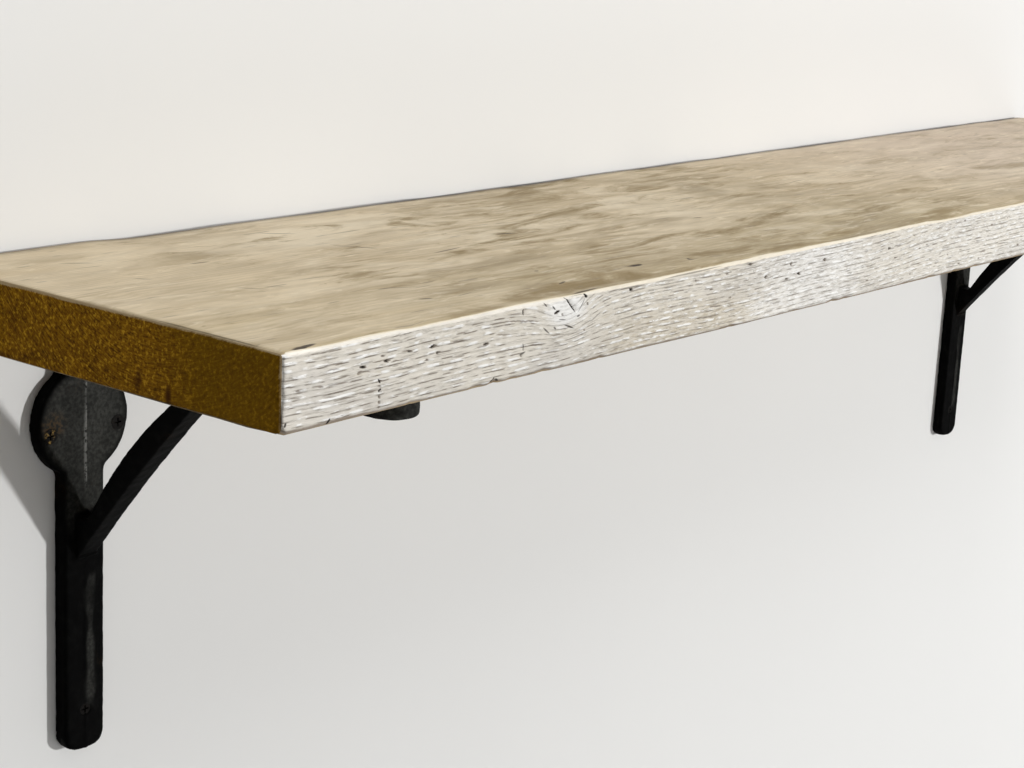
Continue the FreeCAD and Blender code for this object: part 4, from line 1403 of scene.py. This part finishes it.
@dataclass
class Casting:
    """One cast-iron bracket: the solid's form with a sandy skin, a crowned leg and a parting ridge."""

    side: str
    slot: str = "casting"
    voxel: float = 0.0008
    smoothings: int = 3
    skin: float = 0.00016
    face_on: float = 0.6
    ridge_half: float = 0.0009
    ridge_height: float = 0.00050
    crown: float = 0.0007
    leg_face: float = -0.008
    disc_drop: float = 0.052
    disc_radius: float = 0.0275
    half_bar: float = 0.0125
    foot_round: float = 0.0080
    rust_off: float = -0.0185
    rust_reach: float = 0.0085

    def build(self, finish: bpy.types.Material) -> bpy.types.Object:
        """Model and dress the bracket.

        Args:
            finish: the iron.
        Returns:
            The bracket.
        """
        node = f"{self.side}_bracket"
        solid = bmesh.new()
        solid.from_mesh(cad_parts[node].data)
        bmesh.ops.remove_doubles(solid, verts=list(solid.verts), dist=SMALL)
        rough = to_object(solid, f"{self.side}_rough_casting", [])
        remesh = rough.modifiers.new("skin", "REMESH")
        remesh.mode = "VOXEL"
        remesh.voxel_size = self.voxel
        shown = rough.evaluated_get(bpy.context.evaluated_depsgraph_get())
        skinned = bpy.data.meshes.new_from_object(shown)
        shape = bmesh.new()
        shape.from_mesh(skinned)
        bpy.data.objects.remove(rough)
        bpy.data.meshes.remove(skinned)
        for _ in range(self.smoothings):
            bmesh.ops.smooth_vert(shape, verts=list(shape.verts), factor=0.5, use_axis_x=True,
                                  use_axis_y=True, use_axis_z=True)
        self._cast(shape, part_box(node))
        casting = to_object(shape, node + "_casting", [finish])
        seat(casting, self.slot, node)
        return casting

    def _cast(self, shape: bmesh.types.BMesh, box: tuple[Any, Any]) -> None:
        """Give the skin its unevenness, its crowned faces, its parting ridge and its rust.

        Args:
            shape: the mesh, changed in place.
            box: lowest and highest corner of the solid.
        """
        low, high = Vector(box[0]), Vector(box[1])
        middle = (low.x + high.x) / 2.0
        names = ("rust", "bare_and_painted_light", "seam")
        layers = {name: shape.verts.layers.float.new(name) for name in names}
        shape.normal_update()
        for vert in shape.verts:
            point = vert.co.copy()
            normal = vert.normal
            bump = lumps(point.x * 260.0, point.y * 260.0, point.z * 260.0)
            bump += 0.7 * lumps(point.x * 90.0, point.y * 90.0, point.z * 90.0)
            push = self.skin * (bump - 0.4)
            off = point.x - middle
            facing = -normal.y if point.y > self.leg_face - 2.0 * MM else 0.0
            if facing > self.face_on:
                push += self.crown * max(0.0, 1.0 - (off / self.half_bar) ** 2)
                sway = 0.0012 * lumps(point.z * 30.0, 1.0, 1.0)
                ridge = max(0.0, 1.0 - abs(off + sway) / self.ridge_half)
                ridge *= smooth(lumps(point.z * 60.0, 5.0, 2.0), -0.5, 0.1)
                push += self.ridge_height * ridge
                drop = high.z - self.disc_drop - point.z
                vert[layers["bare_and_painted_light"]] = smooth(facing, self.face_on, 0.9) * self._bare_and_sheen_at(off, drop)
                vert[layers["seam"]] = ridge * smooth(drop, 0.038, 0.022)
                spot = math.hypot((off - self.rust_off) / 1.1, drop + MM)
                vert[layers["rust"]] = 0.45 * smooth(spot, self.rust_reach, 0.0030)
            else:
                # Painted highlight: the arm's front tip is lightened where it would catch a glossy
                # highlight.
                tip = smooth(point.y, low.y + 0.016, low.y + 0.004)
                vert[layers["bare_and_painted_light"]] = tip * (0.6 + 0.4 * smooth(bump, -0.2, 0.4))
            vert.co += normal * push
            vert.co.x += off * self._foot_stretch(point.z - low.z)
            vert.co.y = min(max(vert.co.y, low.y), high.y)
            vert.co.z = min(max(vert.co.z, low.z), high.z)

    def _foot_stretch(self, height: float) -> float:
        """How much wider the leg's foot is than a half circle, as a share of its width.

        Args:
            height: how far above the foot's end.
        Returns:
            The share, 0 above the foot.
        """
        if height >= self.half_bar:
            return 0.0
        height = max(height, 0.0002)
        circle = math.sqrt(self.half_bar ** 2 - (self.half_bar - height) ** 2)
        fall = max(0.0, self.foot_round - height)
        square = self.half_bar - self.foot_round + math.sqrt(self.foot_round ** 2 - fall ** 2)
        return square / circle - 1.0

    def _bare_and_sheen_at(self, off: float, drop: float) -> float:
        """How far the black has rubbed off the leg's face, with painted sheen on the disc, the neck and a
        streak down the leg.

        Args:
            off: place across the leg from its middle.
            drop: how far below the disc's middle.
        Returns:
            A share from 0 to 1.
        """
        uneven = 0.70 + 0.30 * smooth(lumps(off * 60.0, drop * 60.0, 3.0), -0.3, 0.3)
        disc = smooth(math.hypot(off, drop), self.disc_radius, self.disc_radius - 0.005)
        neck = smooth(drop, 0.062, 0.040) * smooth(abs(off), self.half_bar, 0.0095) if drop > 0.0 else 0.0
        run = abs(off - 0.0030 + 0.0028 * lumps(drop * 48.0, 2.0, 6.0))
        wide = 0.0034 + 0.0022 * lumps(drop * 62.0, 7.0, 1.0)
        streak = smooth(run, wide, wide * 0.35) * smooth(drop, 0.076, 0.082) * smooth(drop, 0.152, 0.140)
        streak *= 0.35 + 0.65 * smooth(lumps(drop * 85.0, off * 160.0, 4.0), -0.25, 0.25)
        return uneven * max(disc, 0.75 * neck, 0.75 * streak)


@dataclass
class Fixings:
    """The screws and plugs of one bracket: solids of the frame with their own finishes."""

    side: str
    places: tuple[str, ...] = ("upper_left", "upper_right", "lower")
    bright_place: str = "upper_left"
    seats: tuple[str, ...] = ("back_left", "back_right", "front")

    def dress(self, finishes: dict[Fixing, bpy.types.Material]) -> None:
        """Give each solid its material.

        Args:
            finishes: materials by the kind of fixing.
        """
        for place in self.places:
            kind = Fixing.BRIGHT_SCREW if place == self.bright_place else Fixing.DARK_SCREW
            self._paint(f"{self.side}_wall_screw_{place}", finishes[kind])
            self._paint(f"{self.side}_wall_plug_{place}", finishes[Fixing.PLUG])
        for place in self.seats:
            self._paint(f"{self.side}_board_screw_{place}", finishes[Fixing.DARK_SCREW])

    @staticmethod
    def _paint(node: str, finish: bpy.types.Material) -> None:
        """Assign a material to a node of the frame."""
        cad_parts[node].material_slots[0].material = finish
        LOG.info("%s: %s", node, finish.name)


@dataclass
class Studio:
    """Wall, floor, lamps and camera."""

    wall_half: float = 3.2
    wall_gap: float = 0.0002
    # Left, lower, right and upper bound of each opening
    openings: tuple[tuple[float, float, float, float], ...] = (
        (-0.530, -0.0160, 0.530, 0.0155),
        (-0.462, -0.2260, -0.440, -0.0160), (0.440, -0.2260, 0.462, -0.0160),
        (-0.469, -0.0880, -0.433, -0.0510), (0.433, -0.0880, 0.469, -0.0510))
    wall_top: float = 2.2
    floor_z: float = -1.2
    floor_half: float = 7.0
    wall_white: Colour = (0.780, 0.778, 0.765)
    floor_white: Colour = (0.70, 0.695, 0.685)
    world: float = 0.16
    key_power: float = 140.0
    key_size: float = 0.26
    key_height: float = 0.16
    key_turn: float = 35.0
    key_rise: float = 0.045
    key_distance: float = 4.8
    key_aim: Triple = (-0.42, -0.05, -0.07)
    fill_power: float = 34.0
    fill_size: float = 1.8
    fill_place: Triple = (-0.40, -1.25, 2.1)
    fill_aim: Triple = (-0.1, -0.1, 0.0)
    eye: Triple = (-1.0966, -0.7906, 0.2052)
    yaw: float = 51.2
    pitch: float = -13.9
    roll: float = 2.778
    focal_pixels: float = 2132.0
    nearest: float = 0.05

    def build(self) -> None:
        """Set up the stage, the lamps and the camera."""
        self._wall()
        self._floor()
        self._lamps()
        self._camera()
        bpy.context.scene.view_settings.view_transform = "Standard"

    def _wall(self) -> None:
        """A wall that shows only its front, so that views from behind see the fixings."""
        shape = bmesh.new()
        bmesh.ops.create_grid(shape, x_segments=8, y_segments=8, size=1.0)
        height = (self.wall_top - self.floor_z) / 2.0
        place = (Matrix.Translation((0.0, self.wall_gap, self.floor_z + height))
                 @ Matrix.Rotation(math.radians(90.0), 4, "X")
                 @ Matrix.Diagonal((self.wall_half, height, 1.0, 1.0)))
        bmesh.ops.transform(shape, matrix=place, verts=list(shape.verts))
        self._open(shape)
        paint = Recipe("wall_white_plaster")
        colour = self._uneven(paint, self.wall_white, 3.0)
        shader = paint.node("ShaderNodeBsdfPrincipled", None, {"Base Color": colour, "Roughness": 0.9})
        clear = paint.node("ShaderNodeBsdfTransparent")
        behind = paint.node("ShaderNodeNewGeometry", output="Backfacing")
        paint.node_output(paint.node("ShaderNodeMixShader", None, {0: behind, 1: shader, 2: clear}))
        to_object(shape, "wall", [paint.material])

    @staticmethod
    def _uneven(paint: Recipe, white: Colour, cells: float) -> Wire:
        """A white with faint patches, so many to a metre."""
        return paint.mix(paint.cloud(cells, 3.0, 0.5), white, tuple(value * 0.97 for value in white))

    def _open(self, shape: bmesh.types.BMesh) -> None:
        """Cut the wall away where the shelf covers it, so that light from behind reaches the back.

        Args:
            shape: the wall's mesh, changed in place.
        """
        for x0, z0, x1, z1 in self.openings:
            planes = [((x, 0.0, 0.0), (1.0, 0.0, 0.0)) for x in (x0, x1)]
            planes += [((0.0, 0.0, z), (0.0, 0.0, 1.0)) for z in (z0, z1)]
            for place, normal in planes:
                whole = [*shape.verts, *shape.edges, *shape.faces]
                bmesh.ops.bisect_plane(shape, geom=whole, dist=SMALL, plane_co=place, plane_no=normal)
        covered = []
        for face in shape.faces:
            middle = face.calc_center_median()
            if any(x0 < middle.x < x1 and z0 < middle.z < z1 for x0, z0, x1, z1 in self.openings):
                covered.append(face)
        bmesh.ops.delete(shape, geom=covered, context="FACES")

    def _floor(self) -> None:
        """A plain pale floor well below the shelf."""
        shape = bmesh.new()
        bmesh.ops.create_grid(shape, x_segments=4, y_segments=4, size=self.floor_half)
        bmesh.ops.translate(shape, vec=(0.0, 0.0, self.floor_z), verts=list(shape.verts))
        paint = Recipe("floor_pale")
        paint.surface(Base_Color=self._uneven(paint, self.floor_white, 2.0), Roughness=0.8)
        to_object(shape, "floor", [paint.material])

    def _lamp(self, name: str, power: float, size: tuple[float, float], place: Vector, aim: Vector) -> None:
        """Hang one lamp.

        Args:
            name: the lamp's name.
            power: its power in watts.
            size: its width and height in metres.
            place: where it hangs.
            aim: the point it looks at.
        """
        lamp = bpy.data.lights.new(name, "AREA")
        lamp.energy = power
        lamp.shape = "RECTANGLE"
        lamp.size, lamp.size_y = size
        hung = bpy.data.objects.new(name, lamp)
        turn = (aim - place).to_track_quat("-Z", "Y").to_matrix().to_4x4()
        hung.matrix_world = Matrix.Translation(place) @ turn
        bpy.context.collection.objects.link(hung)

    def _lamps(self) -> None:
        """Even white surroundings, a key from the right of the viewer and a soft fill from above."""
        world = bpy.data.worlds.new("studio")
        world.use_nodes = True
        back = world.node_tree.nodes["Background"]
        back.inputs["Color"].default_value = (1.0, 1.0, 1.0, 1.0)
        back.inputs["Strength"].default_value = self.world
        bpy.context.scene.world = world
        aim = Vector(self.key_aim)
        turn = math.radians(self.key_turn)
        towards = Vector((math.sin(turn), -math.cos(turn), self.key_rise)).normalized()
        self._lamp("key", self.key_power, (self.key_size, self.key_height),
                   aim + towards * self.key_distance, aim)
        self._lamp("fill", self.fill_power, (self.fill_size, self.fill_size),
                   Vector(self.fill_place), Vector(self.fill_aim))

    def _camera(self) -> None:
        """The photograph's own viewpoint."""
        yaw, pitch, roll = (math.radians(value) for value in (self.yaw, self.pitch, self.roll))
        ahead = Vector((math.sin(yaw) * math.cos(pitch), math.cos(yaw) * math.cos(pitch), math.sin(pitch)))
        right = Vector((math.cos(yaw), -math.sin(yaw), 0.0))
        over = right.cross(ahead)
        tilted = right * math.cos(roll) + over * math.sin(roll)
        upright = over * math.cos(roll) - right * math.sin(roll)
        lens = bpy.data.cameras.new("camera")
        lens.sensor_fit = "HORIZONTAL"
        lens.sensor_width = SENSOR_WIDTH
        lens.lens = self.focal_pixels * SENSOR_WIDTH / IMAGE_WIDTH
        lens.clip_start = self.nearest
        camera = bpy.data.objects.new("camera", lens)
        turn = Matrix((tilted, upright, -ahead)).transposed().to_4x4()
        camera.matrix_world = Matrix.Translation(Vector(self.eye)) @ turn
        bpy.context.collection.objects.link(camera)
        bpy.context.scene.camera = camera


def main() -> None:
    """Build and dress each piece in order."""
    logging.basicConfig(level=logging.INFO, format="%(name)s %(message)s")
    Studio().build()
    Board().build()
    iron = BlackIron().material()
    finishes = {Fixing.BRIGHT_SCREW: ScrewSteel("screw_yellow_plated", 0.60).material(),
                # The darker copy stands partly for tarnish and partly for painted shade.
                Fixing.DARK_SCREW: ScrewSteel("screw_tarnished_and_shaded", 0.78).material(),
                Fixing.PLUG: PlugNylon().material()}
    for side in SIDES:
        Casting(side).build(iron)
        Fixings(side).dress(finishes)


if __name__ == "__main__":
    main()
